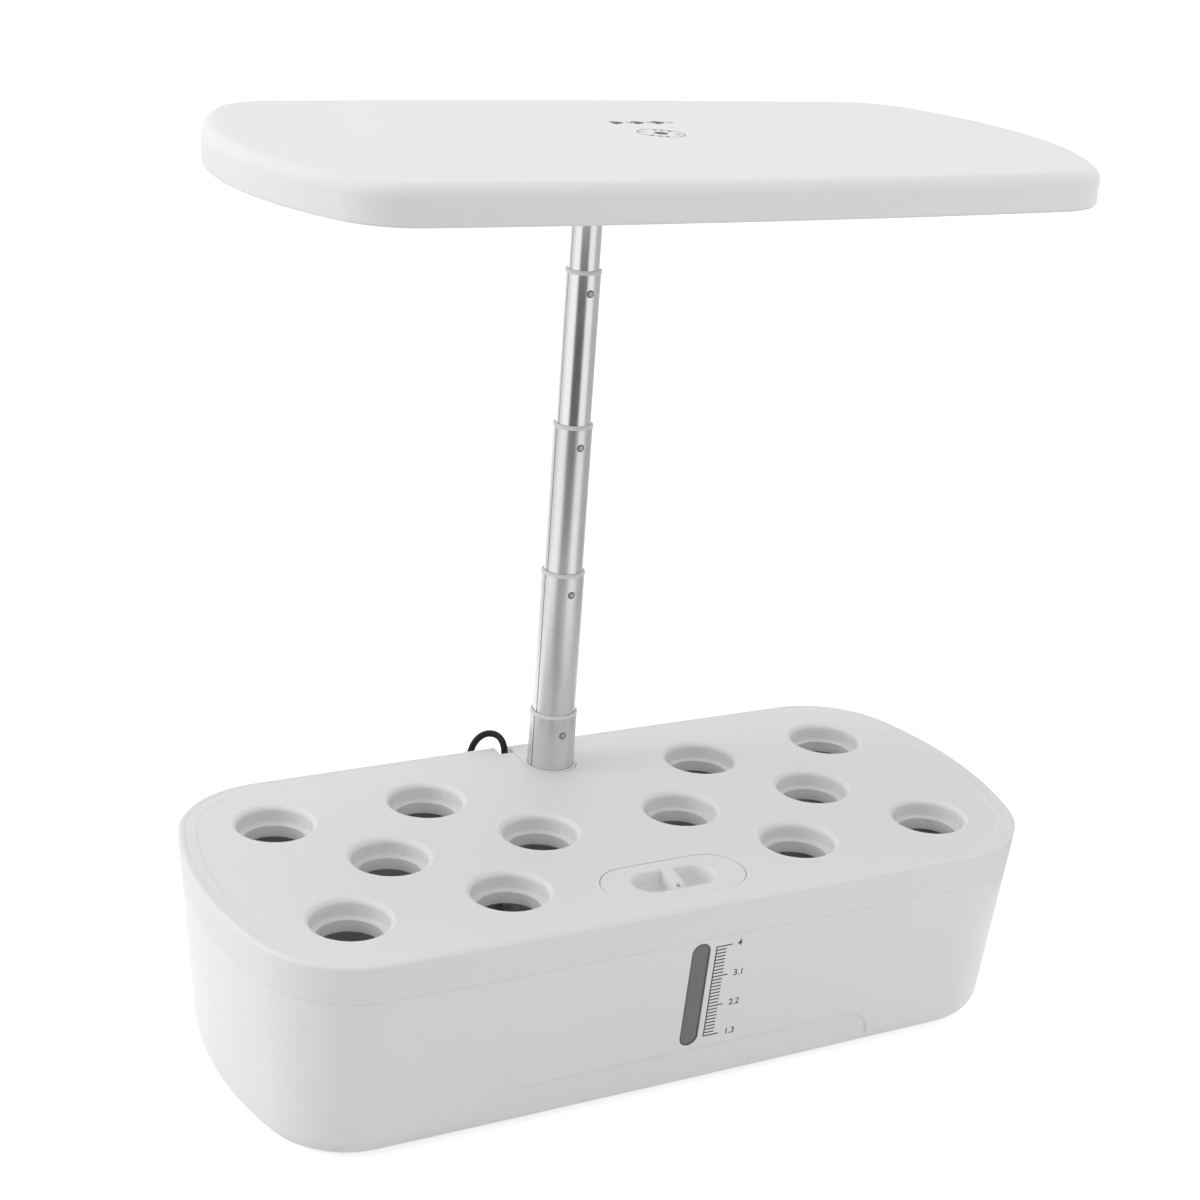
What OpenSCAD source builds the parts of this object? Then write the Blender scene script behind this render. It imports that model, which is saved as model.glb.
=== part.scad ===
// Countertop hydroponic garden: water tank with a lift-off deck of pod wells, and a
// grow lamp on a telescopic mast.  Millimetres, +Z up, front towards -Y, origin on the
// table under the middle of the tank.

/* [Body outline] */
// Length of tank and deck at the deck's top, end to end
body_len = 392; // [360:1:430]
// Depth of tank and deck at the deck's top, front to back
body_dep = 179; // [172:1:200]
// Radius of the four corners in plan
body_corner = 48.5; // [40:0.5:54]
// How far the short ends bow outwards
body_end_bow = 22; // [16:0.5:28]
// How far the long sides bow outwards
body_side_bow = 1.2; // [0.8:0.1:3]
// Height of the deck's rim above the table
deck_top = 98.5; // [96:0.5:106]
// How far the walls lean in from the deck's top down to the table
wall_lean = 8.7; // [6:0.1:10]

/* [Tank] */
// Height of the parting line between tank and deck
seam_z = 80.5; // [80.5:0.5:83]
// Wall thickness of the tank
tank_wall = 3.2; // [2.8:0.1:4]
// Thickness of the tank's floor
floor_t = 2.6; // [2:0.1:4]
// Radius of the tank's bottom edge
foot_round = 10.5; // [8:0.5:14]
// Height of the lip that centres the deck
lip_h = 4; // [3:0.5:5]
// Clearance between the lip and the deck's skirt
lip_gap = 0.5; // [0.4:0.05:0.7]
// Half length of the shallow recess low on the front
recess_half = 100; // [80:1:110]
// Height of the top of that recess
recess_high = 23; // [20:0.5:26]
// Depth of that recess
recess_in = 0.9; // [0.6:0.1:1.2]
// Radius of the recess's two upper corners
recess_corner = 12; // [8:0.5:14]

/* [Feet] */
// Clear height between the table and the tank's bottom
feet_h = 1.5; // [1:0.1:3]
// Radius of a rubber foot
foot_r = 7; // [5:0.5:9]
// Depth of the pocket that holds a foot
foot_pocket = 0.6; // [0.4:0.1:1]
// Distance of the feet from the tank's ends
foot_end = 46; // [40:1:70]
// Distance of the feet from the tank's long sides
foot_side = 37.5; // [34:0.5:50]

/* [Level window] */
// Width of the window
window_w = 9.2; // [7:0.1:11]
// Place of the window's middle line, to the right of the tank's middle
window_x = 1.4; // [-20:0.1:20]
// Height of the window's lower end
window_low = 25; // [24:0.5:30]
// Height of the window's upper end
window_high = 79; // [70:0.5:79]
// How far the window's face lies behind the wall's face
window_back = 0.3; // [0.2:0.1:0.6]
// Width of the flange that holds the window from inside
window_flange = 3.2; // [2.5:0.1:4]
// Thickness of that flange
flange_t = 1.4; // [1:0.1:2]
// Thickness of the seal under the flange
seal_t = 0.8; // [0.6:0.1:1.2]

/* [Deck] */
// Thickness of the deck's skirt
skirt_t = 1.6; // [1.4:0.1:1.8]
// Gap of the parting line
seam_gap = 0.3; // [0.2:0.05:0.5]
// Radius of the deck's outer top edge
edge_r = 2.3; // [1.5:0.1:3]
// Width of the raised rim band
rim_w = 8.5; // [7:0.1:10]
// How far the deck's panel lies below the rim
rim_drop = 0.5; // [0.3:0.1:0.8]
// Thickness of the deck's panel
deck_t = 2.4; // [2:0.1:3]
// Height of the stiffening ribs under the deck
rib_h = 5; // [3:0.5:7]
// Thickness of those ribs
rib_t = 1.4; // [1:0.1:2]

/* [Pod wells] */
// Distance between neighbouring wells of one row
well_pitch = 72.9; // [72:0.1:74]
// Distance between rows
row_pitch = 46.7; // [45:0.1:48]
// Radius of a well's mouth
mouth_r = 19.7; // [19:0.1:20.5]
// Radius of a well's wall
well_r = 17; // [16.5:0.1:17.5]
// Depth of the ledge that carries a pod, below the panel
ledge_depth = 8.5; // [7:0.5:10]
// Radius of the neck below the ledge
neck_r = 14.5; // [13.5:0.1:15]
// Height of the neck
neck_h = 4; // [3:0.5:6]
// Wall thickness of the wells
well_wall = 1.8; // [1.4:0.1:2.2]

/* [Fill port] */
// Length of the fill cap
cap_len = 69; // [64:0.5:70]
// Width of the fill cap
cap_wid = 32; // [30:0.5:33]
// Place of the cap's middle, behind the deck's front edge
cap_front = 29; // [28.5:0.5:31]
// Thickness of the cap's plate
cap_t = 2.4; // [2:0.1:3]
// Clearance round the cap
cap_gap = 0.3; // [0.2:0.05:0.5]
// Width of the ledge that carries the cap
cap_ledge = 3.5; // [3:0.1:4.5]
// Length of the cap's finger cup
cup_len = 39; // [36:0.5:42]
// Width of the finger cup
cup_wid = 18; // [16:0.5:19]
// Depth of the finger cup
cup_depth = 8; // [6:0.5:10]
// Radius of the finger cup's soft rim
cup_round = 1.5; // [1:0.1:2]
// Wall thickness of the finger cup
cup_wall = 1.6; // [1.2:0.1:2]
// Width of the grip bar in the cup
grip_w = 8; // [6:0.5:9]

/* [Mast] */
// Place of the mast's axis, in front of the deck's rear edge
mast_back = 23.9; // [22.5:0.1:25.5]
// Radius of the widest tube
tube_1_r = 11.25; // [11:0.05:11.5]
// Wall thickness of the tubes
tube_wall = 0.8; // [0.7:0.05:0.9]
// Clearance between one tube and the next
tube_gap = 0.2; // [0.15:0.01:0.25]
// Height of the middle of the lowest collar
collar_1_z = 125; // [122:0.5:130]
// Distance between collars with the mast drawn out
stage = 71.6; // [70:0.1:73]
// Height of a collar
collar_h = 3.3; // [3:0.1:4]
// Width of the groove down each tube
groove_w = 1.6; // [1.4:0.1:2]
// Depth of that groove
groove_in = 0.45; // [0.3:0.05:0.5]
// Length of each inner tube below its snap button
tail = 11; // [10.5:0.1:11]
// Height of the widest tube's lower end
mast_low = 20; // [16:0.5:24]

/* [Snap buttons] */
// Radius of a button
button_r = 1.65; // [1.5:0.05:1.8]
// Clearance of a button in its hole
button_gap = 0.1; // [0.05:0.01:0.1]
// Place of a button below the middle of its collar
button_drop = 8.4; // [8:0.1:9.5]
// How far a button is pressed in
press = 0.7; // [0.5:0.05:0.7]
// Width of the leaf spring
leaf_w = 4; // [3:0.1:4.5]
// Thickness of the leaf spring
leaf_t = 0.4; // [0.3:0.05:0.5]

/* [Mast base] */
// Half width of the base block where it shows in the deck
neck_half = 12.5; // [12.3:0.1:13]
// Half width of the column below the deck
column_half = 15.5; // [15:0.1:18]
// Clearance between base block and deck
slot_gap = 0.3; // [0.2:0.05:0.4]
// Clearance between the base block and the widest tube
socket_gap = 0.15; // [0.1:0.01:0.2]
// Thickness of the base block's flange
base_flange_t = 3; // [2.5:0.1:4]
// Height of the screw bosses on the tank's floor
boss_h = 4; // [3:0.5:6]

/* [Cord notch] */
// Left side of the notch in the deck's rear edge
notch_left = -19.7; // [-22:0.1:-19]
// Width of the notch
notch_w = 7; // [6.5:0.1:8]
// Depth of the notch, from the deck's rear edge
notch_depth = 8.5; // [8.3:0.1:9.5]

/* [Lamp] */
// Length of the lamp
lamp_len = 380; // [360:1:400]
// Depth of the lamp
lamp_dep = 186; // [183:1:196]
// Thickness of the lamp
lamp_h = 16; // [15:0.5:20]
// Height of the lamp's top with the mast drawn out
lamp_top = 412; // [411:0.5:418]
// Radius of the lamp's corners in plan
lamp_corner = 34; // [28:0.5:40]
// How far the lamp's short ends bow outwards
lamp_end_bow = 33.6; // [28:0.1:38]
// How far the lamp's long sides bow outwards
lamp_side_bow = 6.4; // [5:0.1:8]
// Radius of the lamp's upper edge
lamp_round = 8; // [6:0.5:10]
// Wall thickness of the lamp's cover
lamp_wall = 2.2; // [1.8:0.1:2.6]
// Thickness of the lamp's tray
tray_t = 1.8; // [1.5:0.1:2.4]
// Depth of the tray behind the cover's lower edge
tray_back = 1.6; // [1.4:0.1:2]
// Distance of the LED board from the lamp's ends
board_end = 52; // [46:1:60]
// Distance of the LED board from the lamp's front edge
board_front = 22; // [21:1:30]
// Distance of the LED board from the lamp's rear edge
board_rear = 52; // [50:1:60]
// Thickness of the LED board
board_t = 1.6; // [1.2:0.1:2]
// LEDs in one row
led_cols = 12; // [6:1:14]
// Rows of LEDs
led_rows = 5; // [3:1:6]
// Side of one LED
led_w = 3.5; // [3:0.1:5]
// Height of one LED
led_h = 1.2; // [0.8:0.1:1.5]

/* [Pump] */
// Place of the pump's middle, to the right of the tank's middle
pump_x = 54; // [46:1:60]
// Place of the pump's impeller side, in front of the deck's rear edge
pump_back = 43.5; // [41.5:0.5:45.5]
// Width of the pump
pump_w = 34; // [32:1:38]
// Depth of the pump's body
pump_d = 22; // [20:1:24]
// Height of the pump's body
pump_h = 28; // [26:1:32]
// Radius of the impeller chamber
chamber_r = 10; // [9:0.1:11]
// Depth of the impeller chamber
chamber_d = 8; // [7:0.1:9]
// Radius of the impeller
impeller_r = 8.8; // [8:0.1:9]

/* [Cord] */
// Diameter of the cord
cord_d = 3.3; // [3:0.1:3.5]
// Radius of the coil at the middle of its turns
coil_r = 19; // [17:0.5:20]

/* [Hidden] */
$fn = 48;

// A plan outline is [half length, half depth, corner radius, end bow, side bow].
body_plan = [body_len / 2, body_dep / 2, body_corner, body_end_bow, body_side_bow];
lamp_plan = [lamp_len / 2, lamp_dep / 2, lamp_corner, lamp_end_bow, lamp_side_bow];

lean_angle = atan(wall_lean / deck_top);
panel_z = deck_top - rim_drop;
rear_y = body_dep / 2;
foot_x = body_len / 2 - foot_end;
foot_y = rear_y - foot_side;
cap_y = rear_y - cap_front;
mast_y = rear_y - mast_back;
notch_y = rear_y - notch_depth;
pump_y = rear_y - pump_back;
eps = 0.01;
// Plates lie this far behind the faces of the ring that holds them.
plate_step = 0.2;
// Pieces that are cut through are cut this far past their faces.
past = 2;

well_spots = concat(
    [for (row = [-1, 1], k = [-2, -1, 1, 2]) [k * well_pitch, row * row_pitch]],
    [for (k = [-1.5, -0.5, 0.5, 1.5]) [k * well_pitch, 0]]);

// Mast levels.
tube_count = 5;
first_button = 1;
last_button = tube_count - 1;
bush_flange = 1.5;
bush_plug = 4;
bush_fit = 0.07;
leaf_stub_gap = 0.1;
leaf_high = 1.6;
socket_in = 16;
lamp_low = lamp_top - lamp_h;
tray_low = lamp_low + tray_back;
tray_high = tray_low + tray_t;
socket_low = lamp_low - 12;
socket_foot_r = 11.5;
socket_head_r = 13;
socket_flange_r = 18;
socket_flange_t = 2;
wire_r = 3;

// The lamp's boards and the places of its screws.
board_len = lamp_len - 2 * board_end;
board_wid = lamp_dep - board_front - board_rear;
board_mid_y = (board_front - board_rear) / 2;
board_edge = 5;
board_corner = 6;
led_margin = [15, 14];
touch_spot = [2, 18];
touch_size = [46, 40];
touch_t = 1.4;
screw_end = 34;
screw_side = 47;
mid_screw_x = 70;

// Bevel on the lamp's lower edge.
lamp_edge = 1.2;
// The lamp's screw bosses stand this far inside its rounded edge.
boss_step = 6;
boss_r = 3.4;

// Pump levels.
cup_h = 6;
pump_low = feet_h + floor_t + cup_h;
axis_up = 13;
pump_axis_z = pump_low + axis_up;
pump_corner = 5;
cover_t = 3.5;
shaft_r = 1;
impeller_d = 6;
running = 0.1;
nozzle_r = 4.5;
nozzle_bore = 3;
nozzle_high = 24;

// Base block levels.
column_back = 13.5;
column_rear = rear_y - column_back;
base_low = feet_h + floor_t + boss_h;
shoulder_z = panel_z - deck_t - 0.4;
base_screw_x = 20;
base_screw_y = [mast_y - 11.6, mast_y + 5.4];
base_rim = 4.5;
screw_r = 1.6;
head_r = 3;
head_h = 1.8;

// Cord: gland under the notch, and the route of the lead in plain points.
cord_x = notch_left + notch_w / 2;
gland_back = 6.3;
gland_y = rear_y - gland_back;
gland_low = 86;
gland_high = 94.5;
gland_r = 2.9;
ear_t = 4;
ear_r = 4.4;
coil_spot = [-95, 112.5];
coil_w = 10.4;
coil_h = 13.6;
lead_route = [[-16.2, 83.2, 94.5], [-16.2, 83.3, 97.6], [-16.2, 84.5, 100.4],
    [-16.4, 87, 102.6], [-17.6, 90, 104], [-20.4, 92.6, 104.3], [-23.8, 94, 103],
    [-26.8, 94.6, 100], [-28.8, 94.8, 95.6], [-30.2, 94.8, 89], [-31.4, 94.6, 80],
    [-32.6, 94.2, 70], [-34, 93.8, 60], [-35.6, 93.2, 50], [-37.6, 92.6, 40],
    [-40, 91.8, 30], [-43.4, 91, 20.6], [-48, 90.4, 12.4], [-54, 90.1, 6],
    [-61.6, 90, 2.6], [-70, 90, 1.7], [-80, 90, 1.7], [-90, 90.2, 1.7]];
tail_route = [[-81.8, 130.6, 11.8], [-75, 125.6, 11], [-67.6, 121, 8.6],
    [-60, 117.6, 5.4], [-52, 115, 3], [-44, 113.2, 2.2], [-36, 112.2, 3.6],
    [-30, 112, 5.6], [-24, 112, 7]];
adapter_x = -10;
adapter_y = 112;
adapter_len = 60;
adapter_wid = 42;
adapter_h = 28;
adapter_relief = 14;

// ---------------------------------------------------------------- outline helpers

function end_r(p) = (p[1] * p[1] + p[3] * p[3]) / (2 * p[3]);
function side_r(p) = (p[0] * p[0] + p[4] * p[4]) / (2 * p[4]);
function end_c(p) = [p[0] - end_r(p), 0];
function side_c(p) = [0, p[1] - side_r(p)];

// Centre of the corner arc, which touches both the end arc and the side arc.
function corner_c(p) =
    let (a = end_c(p), b = side_c(p), ra = end_r(p) - p[2], rb = side_r(p) - p[2],
        d = norm(b - a), t = (ra * ra - rb * rb + d * d) / (2 * d), u = (b - a) / d)
    a + t * u + sqrt(ra * ra - t * t) * [-u[1], u[0]];

function end_turn(p) = let (q = corner_c(p) - end_c(p)) atan2(q[1], q[0]);
function side_turn(p) = let (q = corner_c(p) - side_c(p)) atan2(q[1], q[0]);

function arc_points(c, r, from, to, first, n) =
    [for (k = [first:n]) let (a = from + (to - from) * k / n) c + r * [cos(a), sin(a)]];

// Points of one quarter of the outline, moved inwards by an inset.
function quarter(p, inset) = concat(
    arc_points(end_c(p), end_r(p) - inset, 0, end_turn(p), 0, 5),
    arc_points(corner_c(p), p[2] - inset, end_turn(p), side_turn(p), 1, 12),
    arc_points(side_c(p), side_r(p) - inset, side_turn(p), 90, 1, 3));

function outline(p, inset) =
    let (q = quarter(p, inset), n = len(q) - 1)
    concat(q, [for (k = [n - 1:-1:0]) [-q[k][0], q[k][1]]],
        [for (k = [1:n]) [-q[k][0], -q[k][1]]], [for (k = [n - 1:-1:1]) [q[k][0], -q[k][1]]]);

// Sweeps a closed profile once round an outline.  The profile is a list of
// [inset, height] that goes up the outer face and down the inner one.
module around(p, profile, capped = false) {
    n = len(outline(p, 0));
    m = len(profile);
    rings = [for (v = profile) each [for (q = outline(p, v[0])) [q[0], q[1], v[1]]]];
    faces = [for (i = [0:m - (capped ? 2 : 1)], j = [0:n - 1])
        let (up = (i + 1) % m, next = (j + 1) % n)
        [i * n + j, up * n + j, up * n + next, i * n + next]];
    caps = capped ? [[for (j = [0:n - 1]) j], [for (j = [n - 1:-1:0]) (m - 1) * n + j]] : [];
    polyhedron(rings, concat(faces, caps));
}

// Sweeps a profile, drawn as (inset, height), once round a stadium.
module track(length, width) {
    r = width / 2;
    half = length / 2 - r;
    for (turn = [0, 180])
        rotate(turn) {
            translate([half, 0, 0]) rotate(-90)
                rotate_extrude(angle = 180) translate([r, 0]) mirror([1, 0]) children();
            translate([half, r, 0]) rotate([90, 0, -90]) linear_extrude(2 * half) children();
        }
}

module stadium(length, width) {
    half = (length - width) / 2;
    square([2 * half, width], center = true);
    for (side = [-1, 1])
        translate([side * half, 0]) circle(d = width);
}

module rounded_rect(length, width, r) {
    square([length, width - 2 * r], center = true);
    square([length - 2 * r, width], center = true);
    for (sx = [-1, 1], sy = [-1, 1])
        translate([sx * (length / 2 - r), sy * (width / 2 - r)]) circle(r);
}

// How far the wall lies inside the outline at a height.
function lean(z) = wall_lean * (deck_top - z) / deck_top;

// Places children on the front wall's face, with their Z along the leaning wall.
module on_front(x, z) {
    translate([x, lean(z) - rear_y, z]) rotate([lean_angle, 0, 0]) children();
}

// Profile of the rounded edge between the bottom and a leaning wall, going up.
function foot_curve(face, low, r, n) =
    let (z = low + r, c = face + lean(z) + r / cos(lean_angle))
    [for (k = [0:n]) let (a = 270 - (90 - lean_angle) * k / n) [c + r * cos(a), z + r * sin(a)]];

// Profile of a rounded upper edge, going up and inwards.
function top_curve(inset, high, r, n) =
    [for (k = [0:n]) let (a = 180 - 90 * k / n) [inset + r + r * cos(a), high - r + r * sin(a)]];

function reversed(v) = [for (k = [len(v) - 1:-1:0]) v[k]];

// A tube along points, with flat ends.
module tube_along(points, d) {
    n = len(points);
    sides = 8;
    function dir(k) = let (v = points[min(k + 1, n - 1)] - points[max(k - 1, 0)]) v / norm(v);
    function side(k) = let (v = cross(dir(k), [0.3, 1, 0.2])) v / norm(v);
    rings = [for (k = [0:n - 1], j = [0:sides - 1])
        let (a = 360 * j / sides)
        points[k] + d / 2 * (cos(a) * side(k) + sin(a) * cross(dir(k), side(k)))];
    walls = [for (k = [0:n - 2], j = [0:sides - 1])
        let (i = (j + 1) % sides)
        [k * sides + i, k * sides + j, (k + 1) * sides + j, (k + 1) * sides + i]];
    polyhedron(rings, concat(walls, [[for (j = [0:sides - 1]) j]],
        [[for (j = [sides - 1:-1:0]) (n - 1) * sides + j]]));
}

// Points of a smooth curve through the given ones, a few between each pair.
function smooth(p, parts) = concat([for (k = [0:len(p) - 2], s = [0:parts - 1])
    let (t = s / parts, a = p[max(k - 1, 0)], b = p[k], c = p[k + 1],
        d = p[min(k + 2, len(p) - 1)])
    0.5 * (2 * b + (c - a) * t + (2 * a - 5 * b + 4 * c - d) * t * t
        + (3 * b - a - 3 * c + d) * t * t * t)], [p[len(p) - 1]]);

// ---------------------------------------------------------------- tank

function tank_profile(far) =
    let (lip = skirt_t + lip_gap, lip_z = seam_z + lip_h, floor_z = feet_h + floor_t)
    concat([[far, feet_h]], foot_curve(0, feet_h, foot_round, 6),
        [[lean(seam_z), seam_z], [lip + lean(seam_z), seam_z], [lip + lean(lip_z), lip_z],
            [tank_wall + lean(lip_z), lip_z]],
        reversed(foot_curve(tank_wall, floor_z, foot_round - tank_wall, 4)), [[far, floor_z]]);

module tank() {
    far = foot_round + wall_lean + 7;
    floor_z = feet_h + floor_t;
    color("whitesmoke")
    difference() {
        union() {
            around(body_plan, tank_profile(far));
            translate([0, 0, feet_h + plate_step])
                linear_extrude(floor_t - 2 * plate_step) polygon(outline(body_plan, far - 4));
            for (x = [-1, 1] * base_screw_x, y = base_screw_y)
                translate([x, y, floor_z - 1]) cylinder(r = head_r + 1.5, h = boss_h + 1);
        }
        level_window_opening();
        recess_cut();
        for (x = [-1, 1] * foot_x, y = [-1, 1] * foot_y)
            translate([x, y, -past]) cylinder(r = foot_r, h = feet_h + foot_pocket + past);
        for (x = [-1, 1] * base_screw_x, y = base_screw_y)
            translate([x, y, floor_z - 0.6]) cylinder(r = screw_r, h = boss_h + past);
        // The lip is left out where the mast base crosses the rear wall.
        translate([-neck_half - 1, rear_y - 12, seam_z])
            cube([2 * neck_half + 2, 14, lip_h + past]);
    }
}

module level_window_opening() {
    mid = (window_low + window_high) / 2;
    on_front(window_x, mid)
        translate([0, tank_wall + past, 0]) rotate([90, 0, 0])
            linear_extrude(tank_wall + 2 * past)
                rotate(90) stadium(window_high - window_low, window_w);
}

module recess_cut() {
    low = feet_h - past;
    on_front(0, recess_high)
        translate([0, recess_in, 0]) rotate([90, 0, 0]) linear_extrude(foot_round + past) {
            translate([-recess_half, low - recess_high])
                square([2 * recess_half, recess_high - low - recess_corner]);
            translate([recess_corner - recess_half, -recess_corner - 1])
                square([2 * (recess_half - recess_corner), recess_corner + 1]);
            for (side = [-1, 1])
                translate([side * (recess_half - recess_corner), -recess_corner])
                    circle(recess_corner);
        }
}

// A stadium lens in the opening, with a flange inside the tank.
module level_window() {
    mid = (window_low + window_high) / 2;
    length = window_high - window_low;
    fit = 0.05;
    color("dimgray")
    on_front(window_x, mid) {
        translate([0, tank_wall + seal_t + 0.5, 0]) rotate([90, 0, 0])
            linear_extrude(tank_wall + seal_t + 0.5 - window_back)
                rotate(90) stadium(length - 2 * fit, window_w - 2 * fit);
        translate([0, tank_wall + seal_t + flange_t, 0]) rotate([90, 0, 0])
            linear_extrude(flange_t)
                rotate(90) stadium(length + 2 * window_flange - 3, window_w + 2 * window_flange);
    }
}

module window_seal() {
    mid = (window_low + window_high) / 2;
    length = window_high - window_low;
    color("dimgray")
    on_front(window_x, mid)
        translate([0, tank_wall + seal_t, 0]) rotate([90, 0, 0])
            linear_extrude(seal_t - 0.05)
                rotate(90) difference() {
                    stadium(length + 2 * window_flange - 3.6, window_w + 2 * window_flange - 0.6);
                    stadium(length + 0.4, window_w + 0.4);
                }
}

module rubber_feet() {
    color("darkgray")
    for (x = [-1, 1] * foot_x, y = [-1, 1] * foot_y)
        translate([x, y, 0]) {
            cylinder(r1 = foot_r - 1, r2 = foot_r - 0.2, h = 0.8);
            translate([0, 0, 0.8]) cylinder(r = foot_r - 0.2, h = feet_h + foot_pocket - 0.8);
        }
}

// ---------------------------------------------------------------- mast

function tube_r(k) = tube_1_r - (k - 1) * (tube_wall + tube_gap);
function bore_r(k) = tube_r(k) - tube_wall;
function collar_z(k) = collar_1_z + (k - 1) * stage;
function button_z(k) = collar_z(k) - button_drop;
function tube_low(k) = k == 1 ? mast_low : button_z(k - 1) - tail;
function tube_high(k) = k == tube_count ? socket_low + socket_in : collar_z(k) - collar_h / 2;

module on_mast(z) {
    translate([0, mast_y, z]) children();
}

// The groove down the left of a tube; it also guides on the rib of the tube around it.
module groove(k, length) {
    translate([-tube_r(k) - past, -groove_w / 2, 0]) cube([past + groove_in, groove_w, length]);
}

module button_hole(k, z) {
    translate([0, 0, z]) rotate([90, 0, 0]) cylinder(r = button_r + button_gap, h = tube_1_r + past);
}

module mast_tube(k) {
    low = tube_low(k);
    length = tube_high(k) - low;
    color("silver")
    on_mast(low)
        union() {
            difference() {
                cylinder(r = tube_r(k), h = length);
                translate([0, 0, -past]) cylinder(r = bore_r(k), h = length + 2 * past);
                translate([0, 0, -past]) groove(k, length + 2 * past);
                if (k <= last_button) button_hole(k, button_z(k) - low);
                if (k > first_button) button_hole(k, button_z(k - 1) - low);
            }
            if (k < tube_count)
                translate([-bore_r(k) - 0.2, 0.3 - groove_w / 2, 0])
                    cube([groove_in + 0.2, groove_w - 0.6, length]);
        }
}

module mast_collar(k) {
    foot = tube_r(k) + 0.15;
    head = tube_r(k + 1) + 0.6;
    color("gainsboro")
    on_mast(collar_z(k) - collar_h / 2)
        difference() {
            union() {
                cylinder(r = foot, h = 1.1);
                translate([0, 0, 1.1]) cylinder(r1 = foot, r2 = head, h = collar_h - 1.1);
            }
            translate([0, 0, -past]) cylinder(r = tube_r(k + 1) + 0.15, h = collar_h + 2 * past);
        }
}

// An end bush: a plug in the tube's lower end and a flange that runs in the next tube.
module mast_bush(k) {
    flange = bore_r(k - 1) - bush_fit;
    color("white")
    on_mast(tube_low(k) - bush_flange)
        difference() {
            union() {
                cylinder(r = flange, h = bush_flange);
                cylinder(r = bore_r(k) - 0.05, h = bush_flange + bush_plug);
            }
            translate([0, 0, -past]) cylinder(r = bore_r(k) - 3, h = 20);
            translate([0, 0, -past]) groove(k, bush_flange + past);
            translate([-bore_r(k) - 0.2, -groove_w / 2, bush_flange])
                cube([groove_in + 0.4, groove_w, bush_plug + past]);
        }
}

// A domed button that runs in the wall of tube k.
module snap_button(k) {
    inner = bore_r(k) - 0.05;
    dome = 0.55;
    ball = (button_r * button_r + dome * dome) / (2 * dome);
    shank = tube_r(k) + 0.15 - inner;
    color("silver")
    on_mast(button_z(k))
        rotate([90, 0, 0]) translate([0, 0, inner]) {
            cylinder(r = button_r, h = shank);
            intersection() {
                translate([0, 0, shank - eps]) cylinder(r = button_r, h = dome + 1);
                translate([0, 0, shank + dome - ball]) sphere(ball);
            }
        }
}

// A bent leaf inside tube k+1 whose stub stands behind the button of tube k.
module button_spring(k) {
    wall = bore_r(k + 1) - 0.15;
    face = sqrt(wall * wall - leaf_w * leaf_w / 4);
    low = bush_plug - tail;
    high = leaf_high;
    color("lightsteelblue")
    on_mast(button_z(k)) {
        rotate([90, 0, 90]) translate([0, 0, -leaf_w / 2]) linear_extrude(leaf_w) {
            translate([-face, low + 1]) square([leaf_t, high - low - 1]);
            translate([face - leaf_t, low + 1]) square([leaf_t, high - low - 1]);
            translate([1 - face, low]) square([2 * face - 2, leaf_t]);
            for (side = [-1, 1])
                translate([side * (face - 1), low + 1])
                    intersection() {
                        difference() {
                            circle(1);
                            circle(1 - leaf_t);
                        }
                        translate([side < 0 ? -2 : 0, -2]) square(2);
                    }
        }
        rotate([90, 0, 0]) translate([0, 0, face - leaf_t / 2])
            cylinder(r = 1.3, h = bore_r(k) - 0.05 - press - leaf_stub_gap - face + leaf_t / 2);
    }
}

// ---------------------------------------------------------------- mast base

// A half circle in front of the mast's axis, drawn on straight to the rear.
module u_shape(half, rear) {
    intersection() {
        circle(half);
        translate([-half, -half]) square([2 * half, half + eps]);
    }
    translate([-half, 0]) square([2 * half, rear - mast_y]);
}

// The deck's outer form near the middle of the rear edge, from the seam up.
module rear_form(low, inward) {
    r = side_r(body_plan);
    half = 2 * neck_half;
    turn = atan(1.2 * half / r);
    intersection() {
        translate(side_c(body_plan)) rotate(90 - turn)
            rotate_extrude(angle = 2 * turn, $fn = 6000)
                translate([r, 0]) mirror([1, 0]) rear_profile(low, inward);
        translate([-half, 0, 0]) cube([2 * half, body_dep, 2 * deck_top]);
    }
}

module rear_profile(low, inward) {
    difference() {
        polygon([[lean(low), low], [0, deck_top], [inward, deck_top], [inward, low]]);
        translate([-1, deck_top - edge_r]) square([edge_r + 1, edge_r + 1]);
    }
    translate([edge_r + lean(deck_top - edge_r), deck_top - edge_r])
        intersection() {
            circle(edge_r, $fn = 48);
            translate([-edge_r, 0]) square(edge_r + eps);
        }
}

module mast_base() {
    bore = tube_r(1) + socket_gap;
    color("whitesmoke")
    difference() {
        union() {
            translate([0, mast_y, base_low]) linear_extrude(shoulder_z - base_low)
                u_shape(column_half, column_rear);
            translate([0, (base_screw_y[0] + base_screw_y[1]) / 2, base_low]) linear_extrude(base_flange_t)
                rounded_rect(2 * (base_screw_x + base_rim),
                    base_screw_y[1] - base_screw_y[0] + 2 * base_rim, 4);
            intersection() {
                translate([0, mast_y, seam_z]) linear_extrude(deck_top - seam_z + past)
                    u_shape(neck_half, rear_y + past);
                rear_form(seam_z, mast_back + neck_half + past);
            }
            cord_ear();
        }
        translate([0, mast_y, mast_low]) cylinder(r = bore, h = deck_top);
        translate([0, mast_y, base_low - past]) cylinder(r = 6, h = mast_low);
        for (x = [-1, 1] * base_screw_x, y = base_screw_y)
            translate([x, y, base_low - past])
                cylinder(r = screw_r + 0.1, h = base_flange_t + 2 * past);
        translate([cord_x, gland_y, gland_low - past]) cylinder(r = gland_r, h = 20);
    }
}

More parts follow.
